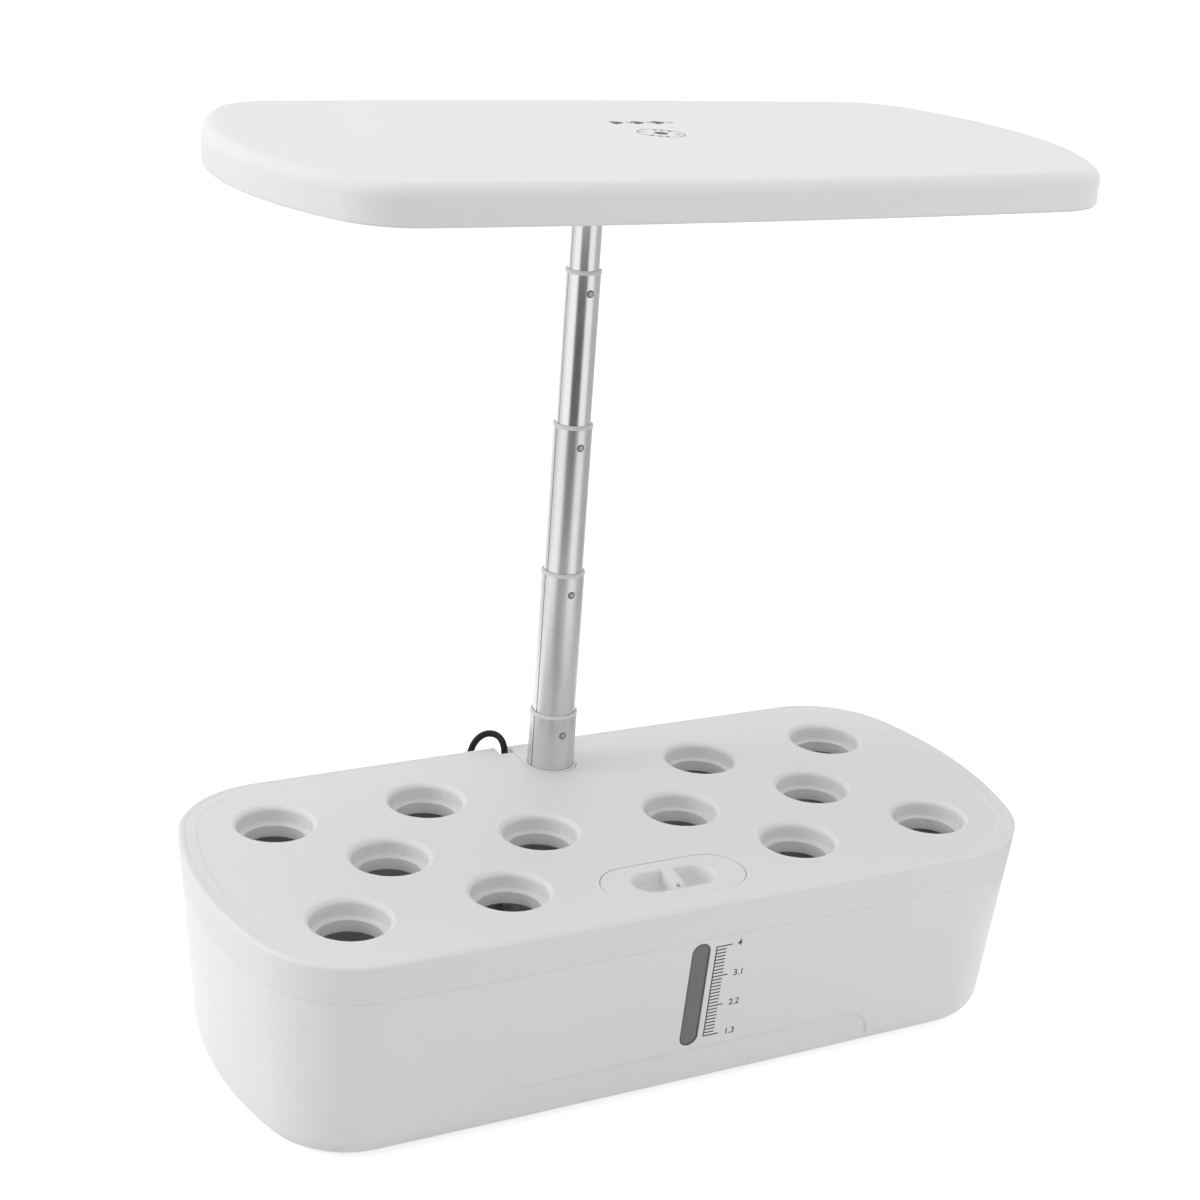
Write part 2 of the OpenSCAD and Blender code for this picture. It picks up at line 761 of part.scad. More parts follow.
// A bracket on the column that carries the cord's gland under the notch.
module cord_ear() {
    root = mast_y + 2.4;
    tip_y = gland_y - 1.6;
    translate([0, 0, gland_low]) linear_extrude(ear_t) {
        translate([cord_x - 5, root]) square([13, tip_y - root]);
        translate([cord_x, tip_y]) circle(ear_r);
    }
}

module mast_base_screws() {
    color("silver")
    for (x = [-1, 1] * base_screw_x, y = base_screw_y)
        translate([x, y, base_low]) {
            translate([0, 0, base_flange_t]) pan_head(head_r, head_h);
            translate([0, 0, -boss_h]) cylinder(r = screw_r - 0.05, h = boss_h + base_flange_t + 0.1);
        }
}

// A screw's head with a cross in it.
module pan_head(r, h) {
    difference() {
        cylinder(r1 = r, r2 = r - 0.5, h = h);
        for (turn = [0, 90])
            rotate(turn) translate([-r * 0.55, -0.35, h - 0.8]) cube([1.1 * r, 0.7, 2]);
    }
}

// ---------------------------------------------------------------- deck

function deck_profile() =
    let (top = panel_z - deck_t - 0.3, low = seam_z + seam_gap, shoulder = deck_top - edge_r)
    concat([[lean(low), low]], top_curve(lean(shoulder), deck_top, edge_r, 4),
        [[rim_w, deck_top], [rim_w + 1.5, panel_z - 0.3], [rim_w + 1.5, top],
            [skirt_t + lean(top), top], [skirt_t + lean(low), low]]);

module deck() {
    color("whitesmoke")
    difference() {
        union() {
            around(body_plan, deck_profile());
            translate([0, 0, panel_z - deck_t])
                linear_extrude(deck_t) polygon(outline(body_plan, rim_w - 1.5));
            for (spot = well_spots)
                translate([spot[0], spot[1], 0]) well_collar();
            translate([0, -cap_y, panel_z - cap_t - well_wall])
                linear_extrude(cap_t + well_wall - 0.6)
                    stadium(cap_len + 2 * cap_gap + 2 * well_wall, cap_wid + 2 * cap_gap + 2 * well_wall);
            deck_ribs();
        }
        for (spot = well_spots)
            translate([spot[0], spot[1], 0]) well_hole();
        translate([0, -cap_y, 0]) port_hole();
        translate([0, mast_y, seam_z - past]) linear_extrude(deck_top)
            u_shape(neck_half + slot_gap, rear_y + past);
        translate([notch_left, notch_y, seam_z - past]) cube([notch_w, 20, deck_top]);
    }
}

// Ribs under the panel between the rows, stopped short of the mast and the port.
module deck_ribs() {
    start = neck_half + well_wall + 12;
    reach = 2.25 * well_pitch;
    for (row = [-0.5, 0.5], side = [0, 1])
        mirror([side, 0, 0])
            translate([start, row * row_pitch - rib_t / 2, panel_z - deck_t - rib_h])
                cube([reach - start, rib_t, rib_h + 1]);
}

module well_collar() {
    ledge_z = panel_z - ledge_depth;
    translate([0, 0, ledge_z - well_wall])
        cylinder(r = well_r + well_wall, h = ledge_depth + well_wall - 1);
    translate([0, 0, ledge_z - neck_h])
        cylinder(r = neck_r + well_wall, h = neck_h);
}

module well_hole() {
    ledge_z = panel_z - ledge_depth;
    soft = mouth_r - well_r;
    translate([0, 0, ledge_z]) cylinder(r1 = well_r - 0.3, r2 = well_r, h = ledge_depth - soft + eps);
    translate([0, 0, ledge_z - neck_h - past]) cylinder(r = neck_r, h = ledge_depth);
    translate([0, 0, panel_z - soft])
        rotate_extrude() difference() {
            square([mouth_r, soft + past]);
            translate([mouth_r, 0]) circle(soft);
        }
}

module port_hole() {
    translate([0, 0, panel_z - cap_t])
        linear_extrude(cap_t + past) stadium(cap_len + 2 * cap_gap, cap_wid + 2 * cap_gap);
    translate([0, 0, panel_z - cap_t - well_wall - past])
        linear_extrude(well_wall + 2 * past) stadium(cap_len - 2 * cap_ledge, cap_wid - 2 * cap_ledge);
}

// ---------------------------------------------------------------- fill cap

module fill_cap() {
    plug_gap = 0.4;
    plug_len = cap_len - 2 * cap_ledge - 2 * plug_gap;
    plug_wid = cap_wid - 2 * cap_ledge - 2 * plug_gap;
    color("whitesmoke")
    translate([0, -cap_y, panel_z]) {
        difference() {
            union() {
                translate([0, 0, -cap_t]) linear_extrude(cap_t - 0.4) stadium(cap_len, cap_wid);
                translate([0, 0, -1]) linear_extrude(1) stadium(cap_len - 0.8, cap_wid - 0.8);
                translate([0, 0, -cup_depth - cup_wall])
                    linear_extrude(cup_depth + cup_wall - 1)
                        stadium(cup_len + 2 * cup_wall, cup_wid + 2 * cup_wall);
                translate([0, 0, -cap_t - 3]) linear_extrude(4)
                    difference() {
                        stadium(plug_len, plug_wid);
                        stadium(plug_len - 2.8, plug_wid - 2.8);
                    }
            }
            translate([0, 0, -cup_depth]) linear_extrude(cup_depth + past) stadium(cup_len, cup_wid);
            track(cup_len + 2 * cup_round, cup_wid + 2 * cup_round)
                difference() {
                    translate([0, -cup_round]) square([cup_round + 1, cup_round + past]);
                    translate([0, -cup_round]) circle(cup_round);
                }
        }
        grip_bar();
    }
}

// A bar across the cup with a rounded back and a rounded front end.
module grip_bar() {
    r = grip_w / 2;
    intersection() {
        translate([0, cup_wid / 2 + 0.5, -r]) rotate([90, 0, 0])
            linear_extrude(cup_wid + 1) {
                circle(r);
                translate([-r, -cup_depth]) square([grip_w, cup_depth]);
            }
        translate([0, 0, -cup_depth - 0.5]) linear_extrude(cup_depth + 1) {
            translate([0, r - cup_wid / 2 + 0.6]) circle(r);
            translate([-r, r - cup_wid / 2 + 0.6]) square([grip_w, cup_wid]);
        }
    }
}

// ---------------------------------------------------------------- pump

module on_pump() {
    translate([pump_x, pump_y, pump_axis_z]) rotate([-90, 0, 0]) children();
}

module pump_body() {
    color("#303234")
    difference() {
        translate([pump_x, pump_y, pump_low + pump_h / 2]) rotate([-90, 0, 0])
            linear_extrude(pump_d) rounded_rect(pump_w, pump_h, pump_corner);
        on_pump() difference() {
            translate([0, 0, -past]) cylinder(r = chamber_r, h = chamber_d + past);
            cylinder(r = shaft_r, h = chamber_d + 1);
        }
        translate([pump_x, pump_y + chamber_d / 2, pump_axis_z]) cylinder(r = nozzle_bore, h = 40);
    }
}

// The front cover, with the slots of the water inlet.
module pump_cover() {
    slots = 7;
    slot_pitch = 3;
    slot_w = 1.6;
    slot_h = 12;
    color("#3a3c3f")
    difference() {
        translate([pump_x, pump_y, pump_low + pump_h / 2]) rotate([90, 0, 0])
            linear_extrude(cover_t) rounded_rect(pump_w, pump_h, pump_corner);
        for (k = [0:slots - 1])
            translate([pump_x + (k - (slots - 1) / 2) * slot_pitch - slot_w / 2,
                pump_y - cover_t - past, pump_axis_z - slot_h / 2])
                cube([slot_w, cover_t + 2 * past, slot_h]);
    }
}

module pump_impeller() {
    blades = 6;
    color("white")
    on_pump() translate([0, 0, 1]) difference() {
        union() {
            cylinder(r = 2.8, h = impeller_d);
            cylinder(r = impeller_r - 1.4, h = 1);
            for (k = [0:blades - 1])
                rotate(360 * k / blades) translate([0, -0.5, 0])
                    cube([impeller_r, 1, impeller_d - 1]);
        }
        translate([0, 0, -past]) cylinder(r = shaft_r + running, h = impeller_d + 2 * past);
    }
}

module pump_outlet() {
    low = pump_low + pump_h;
    color("#303234")
    translate([pump_x, pump_y + chamber_d / 2, low])
        difference() {
            union() {
                cylinder(r = nozzle_r + 1.5, h = 2);
                cylinder(r = nozzle_r, h = nozzle_high);
                for (k = [0:2])
                    translate([0, 0, nozzle_high - 9 + 3 * k])
                        cylinder(r1 = nozzle_r + 0.7, r2 = nozzle_r - 0.2, h = 2.6);
            }
            translate([0, 0, -past]) cylinder(r = nozzle_bore, h = nozzle_high + 2 * past);
        }
}

module pump_cups() {
    floor_z = feet_h + floor_t;
    color("#4a4c4f")
    for (x = [-1, 1] * (pump_w / 2 - 7), y = [5, pump_d - 5])
        translate([pump_x + x, pump_y + y, floor_z]) {
            cylinder(r1 = 4.6, r2 = 2, h = 3);
            cylinder(r = 2, h = cup_h);
        }
}

// ---------------------------------------------------------------- cord

module cord_gland() {
    color("#1c1c1e")
    translate([cord_x, gland_y, gland_low])
        union() {
            cylinder(r = gland_r - 0.05, h = 4);
            translate([0, 0, 4]) cylinder(r1 = gland_r - 0.05, r2 = cord_d / 2 + 0.4,
                h = gland_high - gland_low - 4);
        }
}

module power_cord() {
    color("#1c1c1e") tube_along(smooth(lead_route, 3), cord_d);
}

module cord_tail() {
    color("#1c1c1e") tube_along(smooth(tail_route, 3), cord_d);
}

module cord_coil() {
    color("#1c1c1e")
    translate([coil_spot[0], coil_spot[1], 0])
        rotate_extrude() translate([coil_r, coil_h / 2]) rounded_rect(coil_w, coil_h, cord_d / 2);
}

// A band over the coil, on its left.
module cord_tie() {
    band = 0.7;
    slack = 0.3;
    color("#2a2a2c")
    translate([coil_spot[0] - coil_r, coil_spot[1], 0]) rotate([90, 0, 0])
        translate([0, 0, -2]) linear_extrude(4) difference() {
            translate([-coil_w / 2 - band - slack, 0])
                square([coil_w + 2 * band + 2 * slack, coil_h + band + slack]);
            translate([-coil_w / 2 - slack, -1])
                square([coil_w + 2 * slack, coil_h + 1 + slack]);
        }
}

// The plug-in adapter lies on its back, with its pins up.
module adapter_case() {
    lead_z = tail_route[len(tail_route) - 1][2];
    color("#1c1c1e") {
        translate([adapter_x + adapter_len / 2, adapter_y, 0]) {
            translate([0, 0, 1]) linear_extrude(adapter_h - 2)
                rounded_rect(adapter_len, adapter_wid, 6);
            linear_extrude(adapter_h) rounded_rect(adapter_len - 2, adapter_wid - 2, 5);
        }
        translate([adapter_x + 1, adapter_y, lead_z]) rotate([0, -90, 0])
            cylinder(r1 = 4, r2 = cord_d / 2 + 0.5, h = adapter_relief + 1);
    }
}

module adapter_pins() {
    blade = 6.3;
    apart = 12.7;
    color("silver")
    for (side = [-1, 1])
        translate([adapter_x + adapter_len / 2 - blade / 2, adapter_y + side * apart / 2 - 0.75,
            adapter_h])
            cube([blade, 1.5, 17]);
}

// ---------------------------------------------------------------- lamp

function lamp_screw_spots() = concat(
    [for (x = [-1, 1] * (lamp_len / 2 - screw_end), y = [-1, 1] * (lamp_dep / 2 - screw_side)) [x, y]],
    [for (x = [-1, 1] * mid_screw_x, y = [-1, 1] * (lamp_dep / 2 - lamp_round - boss_step - boss_r))
        [x, y]]);

// Down the inside, round the lower edge and up the outside.
lamp_profile = concat(
    reversed(top_curve(lamp_wall, lamp_top - lamp_wall, lamp_round - lamp_wall, 4)),
    [[lamp_wall, lamp_low], [lamp_edge, lamp_low], [0, lamp_low + lamp_edge]],
    top_curve(0, lamp_top, lamp_round, 6));

module lamp_cover() {
    color("whitesmoke")
    difference() {
        union() {
            around(lamp_plan, lamp_profile, capped = true);
            for (spot = lamp_screw_spots())
                translate([spot[0], spot[1], tray_high])
                    cylinder(r = boss_r, h = lamp_top - tray_high - 1);
        }
        for (spot = lamp_screw_spots())
            translate([spot[0], spot[1], tray_low])
                cylinder(r = screw_r, h = lamp_h - tray_back - lamp_wall - 1);
    }
}

module lamp_tray() {
    color("white")
    difference() {
        translate([0, 0, tray_low])
            linear_extrude(tray_t) polygon(outline(lamp_plan, lamp_wall + 0.3));
        translate([0, board_mid_y, tray_low - past])
            linear_extrude(tray_t + 2 * past)
                rounded_rect(board_len - 2 * board_edge, board_wid - 2 * board_edge, board_corner + 2);
        for (spot = lamp_screw_spots())
            translate([spot[0], spot[1], tray_low - past])
                cylinder(r = screw_r + 0.1, h = tray_t + 2 * past);
        translate([0, mast_y, tray_low - past]) cylinder(r = socket_head_r + 0.2, h = tray_t + 2 * past);
    }
}

module led_board() {
    color("ivory")
    translate([0, board_mid_y, tray_high])
        linear_extrude(board_t) rounded_rect(board_len, board_wid, board_corner);
}

module leds() {
    dx = (board_len - 2 * led_margin[0]) / (led_cols - 1);
    dy = (board_wid - 2 * led_margin[1]) / (led_rows - 1);
    color("khaki")
    for (i = [0:led_cols - 1], j = [0:led_rows - 1])
        translate([(i - (led_cols - 1) / 2) * dx, board_mid_y + (j - (led_rows - 1) / 2) * dy,
            tray_high - led_h / 2])
            cube([led_w, led_w, led_h], center = true);
}

module touch_board() {
    color("seagreen")
    translate([touch_spot[0], touch_spot[1], lamp_top - lamp_wall - plate_step - touch_t])
        linear_extrude(touch_t) rounded_rect(touch_size[0], touch_size[1], 3);
}

module lamp_socket() {
    neck = tray_high - socket_low;
    color("whitesmoke")
    translate([0, mast_y, socket_low])
        difference() {
            union() {
                cylinder(r1 = socket_foot_r, r2 = socket_head_r, h = neck);
                translate([0, 0, neck]) cylinder(r = socket_flange_r, h = socket_flange_t);
            }
            translate([0, 0, -past]) cylinder(r = tube_r(tube_count) + 0.05, h = socket_in + past);
            cylinder(r = wire_r, h = neck + socket_flange_t + past);
        }
}

module lamp_screws() {
    color("silver")
    for (spot = lamp_screw_spots())
        translate([spot[0], spot[1], tray_low]) {
            rotate([180, 0, 0]) pan_head(2.8, 1.3);
            cylinder(r = screw_r - 0.05, h = 10);
        }
}

// ---------------------------------------------------------------- nodes

tank();
level_window();
window_seal();
rubber_feet();
mast_base();
mast_base_screws();
mast_tube(1);  // mast_tube_1
mast_tube(2);  // mast_tube_2
mast_tube(3);  // mast_tube_3
mast_tube(4);  // mast_tube_4
mast_tube(5);  // mast_tube_5
mast_collar(1);  // mast_collar_1
mast_collar(2);  // mast_collar_2
mast_collar(3);  // mast_collar_3
mast_collar(4);  // mast_collar_4
mast_bush(2);  // mast_bush_2
mast_bush(3);  // mast_bush_3
mast_bush(4);  // mast_bush_4
mast_bush(5);  // mast_bush_5
snap_button(1);  // snap_button_1
snap_button(2);  // snap_button_2
snap_button(3);  // snap_button_3
snap_button(4);  // snap_button_4
button_spring(1);  // button_spring_1
button_spring(2);  // button_spring_2
button_spring(3);  // button_spring_3
button_spring(4);  // button_spring_4
deck();
fill_cap();
pump_body();
pump_cover();
pump_impeller();
pump_outlet();
pump_cups();
cord_gland();
power_cord();
cord_coil();
cord_tail();
cord_tie();
adapter_case();
adapter_pins();
lamp_cover();
lamp_tray();
led_board();
leds();
touch_board();
lamp_socket();
lamp_screws();
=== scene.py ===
"""Looks of a countertop hydroponic garden, built round its fixed frame.

Everything is in metres, with +Z up, the front towards -Y and the origin on the table under
the middle of the tank.
"""

from __future__ import annotations

import logging
import math
from dataclasses import dataclass, field
from enum import Enum
from typing import Any, ClassVar

import bmesh
import bpy
from mathutils import Matrix, Vector


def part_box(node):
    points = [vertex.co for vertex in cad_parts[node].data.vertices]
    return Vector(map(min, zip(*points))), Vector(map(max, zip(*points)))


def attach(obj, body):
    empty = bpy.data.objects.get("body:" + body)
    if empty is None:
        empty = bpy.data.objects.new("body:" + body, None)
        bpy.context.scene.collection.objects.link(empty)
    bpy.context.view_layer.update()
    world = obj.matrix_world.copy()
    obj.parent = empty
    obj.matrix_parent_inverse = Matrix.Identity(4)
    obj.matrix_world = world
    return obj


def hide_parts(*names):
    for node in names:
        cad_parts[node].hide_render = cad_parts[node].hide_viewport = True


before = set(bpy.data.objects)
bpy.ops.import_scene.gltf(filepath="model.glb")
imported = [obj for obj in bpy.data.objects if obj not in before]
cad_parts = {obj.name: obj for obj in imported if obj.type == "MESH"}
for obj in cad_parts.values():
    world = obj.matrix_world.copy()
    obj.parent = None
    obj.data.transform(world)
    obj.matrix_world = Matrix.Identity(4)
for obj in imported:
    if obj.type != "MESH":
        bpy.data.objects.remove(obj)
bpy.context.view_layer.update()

LOG = logging.getLogger("garden")

Point2 = tuple[float, float]
Point3 = tuple[float, float, float]
Color = tuple[float, float, float]
Outline = list[Point2]
Spots = tuple[Point2, ...]
Solid = bpy.types.Object
Socket = bpy.types.NodeSocket
Tree = bpy.types.NodeTree
Material = bpy.types.Material

# Levels and places that several pieces share.
DECK_TOP = 0.0985
PANEL_TOP = 0.098
SEAM = 0.0805
REAR_EDGE = 0.0895
MAST_Y = 0.0656
WALL_LEAN = 0.0087
WALL_TILT = math.atan(WALL_LEAN / DECK_TOP)
WINDOW = (0.0014, 0.052)
PORT_Y = -0.0605
TO_FRONT = Matrix.Rotation(math.pi / 2, 4, "X")  # stands a flat outline up, facing the front

PAST = 0.002  # how far a cutting solid reaches past what it cuts
INTO = 0.001  # how far an added solid reaches into what it joins
SKIM = 0.00003  # how far a soft mouth ends above the face that it cuts
TINY = 1e-7  # points nearer than this are one
MIX_LOW, MIX_HIGH, MIX_RESULT = 6, 7, 2  # the colour sockets of a Mix node


# --- enums ---


class Body(Enum):
    """The bodies that a piece can ride on."""

    BASE = "base"
    LID = "lid"
    CAP = "cap"
    STAGE_2 = "stage_2"
    STAGE_3 = "stage_3"
    STAGE_4 = "stage_4"
    LAMP = "lamp"
    BUTTON_1 = "button_1"
    BUTTON_2 = "button_2"
    BUTTON_3 = "button_3"
    BUTTON_4 = "button_4"


class Cut(Enum):
    """What a solid tool does to a shell."""

    ADD = "UNION"
    TAKE = "DIFFERENCE"


# --- outlines ---


def bow_radius(half_chord: float, bow: float) -> float:
    """Radius of an arc that rises by a bow over its chord."""
    return (half_chord**2 + bow**2) / (2 * bow)


@dataclass(frozen=True)
class Plan:
    """A plan outline: bowed ends and bowed sides that meet in round corners."""

    half_length: float
    half_depth: float
    corner: float
    end_bow: float
    side_bow: float
    steps: tuple[int, int, int] = (14, 26, 12)

    def quarter(self, inset: float) -> Outline:
        """The rear right quarter of the outline.

        Args:
            inset: How far the outline is moved inwards.

        Returns:
            Points from the right end round to the middle of the rear side.
        """
        end_radius = bow_radius(self.half_depth, self.end_bow)
        side_radius = bow_radius(self.half_length, self.side_bow)
        end = Vector((self.half_length - end_radius, 0))
        side = Vector((0, self.half_depth - side_radius))
        # The corner's arc touches the other two.
        gap = (side - end).length
        step = (side - end) / gap
        ra, rb = end_radius - self.corner, side_radius - self.corner
        along = (ra**2 - rb**2 + gap**2) / (2 * gap)
        corner = end + along * step + math.sqrt(ra**2 - along**2) * Vector((-step.y, step.x))
        to_end, to_side = corner - end, corner - side
        end_turn, side_turn = math.atan2(to_end.y, to_end.x), math.atan2(to_side.y, to_side.x)
        arcs = (
            (end, end_radius, 0.0, end_turn),
            (corner, self.corner, end_turn, side_turn),
            (side, side_radius, side_turn, math.pi / 2),
        )
        points = []
        for (centre, radius, start, stop), steps in zip(arcs, self.steps):
            reach = radius - inset
            for k in range(1 if points else 0, steps + 1):
                turn = start + (stop - start) * k / steps
                x, y = reach * math.cos(turn), reach * math.sin(turn)
                points.append((centre.x + x, centre.y + y))
        return points

    def points(self, inset: float) -> Outline:
        """The whole outline, moved inwards by an inset, counter-clockwise."""
        q = self.quarter(inset)
        return [
            *q, *((-x, y) for x, y in q[-2::-1]), *((-x, -y) for x, y in q[1:]),
            *((x, -y) for x, y in q[-2:0:-1]),
        ]


BODY_PLAN = Plan(0.196, REAR_EDGE, 0.0485, 0.022, 0.0012)
LAMP_PLAN = Plan(0.190, 0.093, 0.034, 0.0336, 0.0064)


def lean(height: float) -> float:
    """How far the tank's wall lies inside the outline at a height."""
    return WALL_LEAN * (DECK_TOP - height) / DECK_TOP


def on_front(x: float, height: float) -> Matrix:
    """Place on the leaning front wall, with X to the right, Y up the wall and Z out of it."""
    where = Matrix.Translation((x, lean(height) - REAR_EDGE, height))
    return where @ Matrix.Rotation(WALL_TILT, 4, "X") @ TO_FRONT


def arc(centre: Point2, radius: float, start: float, stop: float, steps: int) -> Outline:
    """Points of a circular arc between two angles in degrees."""
    turns = (math.radians(start + (stop - start) * k / steps) for k in range(steps + 1))
    return [(centre[0] + radius * math.cos(t), centre[1] + radius * math.sin(t)) for t in turns]


def circle(centre: Point2, radius: float, steps: int) -> Outline:
    """Points of a whole circle."""
    return arc(centre, radius, 0, 360, steps)[:-1]


def stadium(length: float, width: float, steps: int = 48) -> Outline:
    """Outline of a slot with round ends, lengthwise along X."""
    half, r = (length - width) / 2, width / 2
    return arc((half, 0), r, -90, 90, steps) + arc((-half, 0), r, 90, 270, steps)


def round_port(size: Point2, grow: float = 0.0) -> Outline:
    """A stadium round the fill port's middle, made wider by some amount on each side."""
    return moved(stadium(size[0] + 2 * grow, size[1] + 2 * grow), 0, PORT_Y)


def bar(left: float, low: float, right: float, high: float) -> Outline:
    """Outline of a rectangle between two corners."""
    return [(left, low), (right, low), (right, high), (left, high)]


def moved(outline: Outline, x: float, y: float, turn: float = 0.0) -> Outline:
    """An outline turned by some degrees and then moved."""
    c, s = math.cos(math.radians(turn)), math.sin(math.radians(turn))
    return [(x + c * px - s * py, y + s * px + c * py) for px, py in outline]


def upper_edge(inset: float, high: float, radius: float, steps: int) -> Outline:
    """Profile of (inset, height) of a rounded upper edge, going up and inwards."""
    return arc((inset + radius, high - radius), radius, 180, 90, steps)


def foot_edge(face: float, low: float, radius: float, steps: int) -> Outline:
    """Profile of (inset, height) of the rounded edge from the bottom up to a leaning wall."""
    middle = (face + lean(low + radius) + radius / math.cos(WALL_TILT), low + radius)
    return arc(middle, radius, 270, 180 + math.degrees(WALL_TILT), steps)


# --- mesh helpers ---


def adjusted(thing: Any, **settings: object) -> Any:
    """Sets some properties of a thing.

    Args:
        thing: What is adjusted.
        **settings: The properties' values, set in this order.

    Returns:
        The same thing.
    """
    for key, value in settings.items():
        setattr(thing, key, value)
    return thing


def in_scene(name: str, data: bpy.types.ID) -> Solid:
    """Makes an object of its data.

    Args:
        name: Name of the object.
        data: A mesh, curve, light or camera.

    Returns:
        The object, at the origin of the scene.
    """
    made = bpy.data.objects.new(name, data)
    bpy.context.scene.collection.objects.link(made)
    return made


def new_object(name: str, bm: bmesh.types.BMesh) -> Solid:
    """Makes an object of a finished mesh.

    Args:
        name: Name of the piece.
        bm: Its mesh, which is freed.

    Returns:
        The object, at the origin.
    """
    bmesh.ops.recalc_face_normals(bm, faces=bm.faces)
    mesh = bpy.data.meshes.new(name)
    bm.to_mesh(mesh)
    bm.free()
    return in_scene(name, mesh)


def skin(
    name: str, rings: list[list[Point3]], capped: bool = True, place: Matrix = Matrix()
) -> Solid:
    """Makes a closed solid through rings of equally many points.

    Args:
        name: Name of the piece.
        rings: The rings, in order.
        capped: Whether the first and the last ring are filled, or joined to each other.
        place: Where the rings' own axes lie.

    Returns:
        The solid.
    """
    bm = bmesh.new()
    rows = [[bm.verts.new(p) for p in ring] for ring in rings]
    pairs = list(zip(rows, rows[1:])) + ([] if capped else [(rows[-1], rows[0])])
    for low, high in pairs:
        for k in range(len(low)):
            after = (k + 1) % len(low)
            bm.faces.new((low[k], low[after], high[after], high[k]))
    if capped:
        bm.faces.new(rows[0][::-1])
        bm.faces.new(rows[-1])
    made = new_object(name, bm)
    made.data.transform(place)
    return made


def lofted(
    name: str,
    levels: list[tuple[Outline, float]],
    place: Matrix = Matrix(),
    capped: bool = True,
) -> Solid:
    """Joins outlines of equally many points, each at its own height."""
    rings = [[(x, y, z) for x, y in outline] for outline, z in levels]
    return skin(name, rings, capped, place)


def swept(name: str, plan: Plan, profile: Outline) -> Solid:
    """Sweeps a profile of (inset, height) round a plan outline and fills both of its ends."""
    return lofted(name, [(plan.points(inset), z) for inset, z in profile])


def turned(
    name: str, profile: Outline, at: Point2 = (0, 0), steps: int = 96, place: Matrix = Matrix()
) -> Solid:
    """Turns a profile of (radius, height) about an upright axis and fills both of its ends."""
    return lofted(name, [(circle(at, r, steps), z) for r, z in profile], place)


def prism(
    name: str, outline: Outline, low: float, high: float, place: Matrix = Matrix()
) -> Solid:
    """Extrudes an outline from a low to a high level."""
    return lofted(name, [(outline, low), (outline, high)], place)


def hoop(
    name: str, outer: Outline, inner: Outline, low: float, high: float, place: Matrix = Matrix()
) -> Solid:
    """Extrudes the space between two outlines of equally many points."""
    levels = [(inner, low), (outer, low), (outer, high), (inner, high)]
    return lofted(name, levels, place, capped=False)


def merged(name: str, *parts: Solid) -> Solid:
    """Puts the meshes of several objects in one, and deletes the objects.

    Args:
        name: Name of the result.
        *parts: The objects.

    Returns:
        One object.
    """
    bm = bmesh.new()
    for part in parts:
        mesh = part.data
        bm.from_mesh(mesh)
        bpy.data.objects.remove(part)
        bpy.data.meshes.remove(mesh)
    return new_object(name, bm)


def posts(spots: Spots, radius: float, low: float, high: float, steps: int) -> Solid:
    """Upright round posts at several spots, as one solid."""
    profile = [(radius, low), (radius, high)]
    return merged("posts", *(turned("post", profile, spot, steps) for spot in spots))


def evaluated(source: Solid) -> bpy.types.Mesh:
    """The mesh that an object's text or modifiers make."""
    graph = bpy.context.evaluated_depsgraph_get()
    return bpy.data.meshes.new_from_object(source.evaluated_get(graph))


def numeral(text: str, height: float, thickness: float, place: Matrix) -> Solid:
    """Makes a plain number as a thin solid.

    Args:
        text: The number.
        height: Height of its digits.
        thickness: Thickness of the solid, half of it behind the place.
        place: Where it stands: X along the number, Y up.

    Returns:
        The solid.
    """
    digit_share, swell = 0.69, 0.00005
    font = adjusted(
        bpy.data.curves.new(text, "FONT"), body=text, size=height / digit_share,
        extrude=thickness / 2, offset=swell, align_y="CENTER", resolution_u=4,
    )
    shaped = in_scene(text, font)
    mesh = evaluated(shaped)
    bpy.data.objects.remove(shaped)
    bm = bmesh.new()
    bm.from_mesh(mesh)
    bmesh.ops.remove_doubles(bm, verts=bm.verts, dist=TINY)
    made = new_object("numeral", bm)
    made.data.transform(place)
    return made


def modify(target: Solid, kind: str, **settings: object) -> None:
    """Replaces an object's mesh by what a modifier makes of it.

    Args:
        target: The object.
        kind: The modifier's type.
        **settings: Its settings.
    """
    adjusted(target.modifiers.new(kind, kind), **settings)
    mesh = evaluated(target)
    target.modifiers.clear()
    target.data = mesh


def carve(target: Solid, tool: Solid, how: Cut) -> None:
    """Adds a solid to another or takes it away, and deletes that solid."""
    modify(target, "BOOLEAN", operation=how.value, solver="EXACT", object=tool)
    bpy.data.objects.remove(tool)


def soften(target: Solid, width: float = 0.0, angle: float = 38.0) -> None:
    """Rounds an object's sharp edges a little and shades it smooth.

    Args:
        target: The object.
        width: Width of the rounding, or 0 for none.
        angle: Edges sharper than this many degrees count.
    """
    sharp = math.radians(angle)
    if width:
        modify(
            target, "BEVEL", width=width, segments=2, limit_method="ANGLE", angle_limit=sharp,
            miter_outer="MITER_ARC",
        )
    bm = bmesh.new()
    bm.from_mesh(target.data)
    bmesh.ops.dissolve_degenerate(bm, dist=TINY, edges=bm.edges)
    for face in bm.faces:
        face.smooth = True
    for edge in bm.edges:
        edge.smooth = len(edge.link_faces) == 2 and edge.calc_face_angle(0) < sharp
    bm.to_mesh(target.data)
    bm.free()
    modify(target, "WEIGHTED_NORMAL", keep_sharp=True, weight=80)


# --- shared effects ---


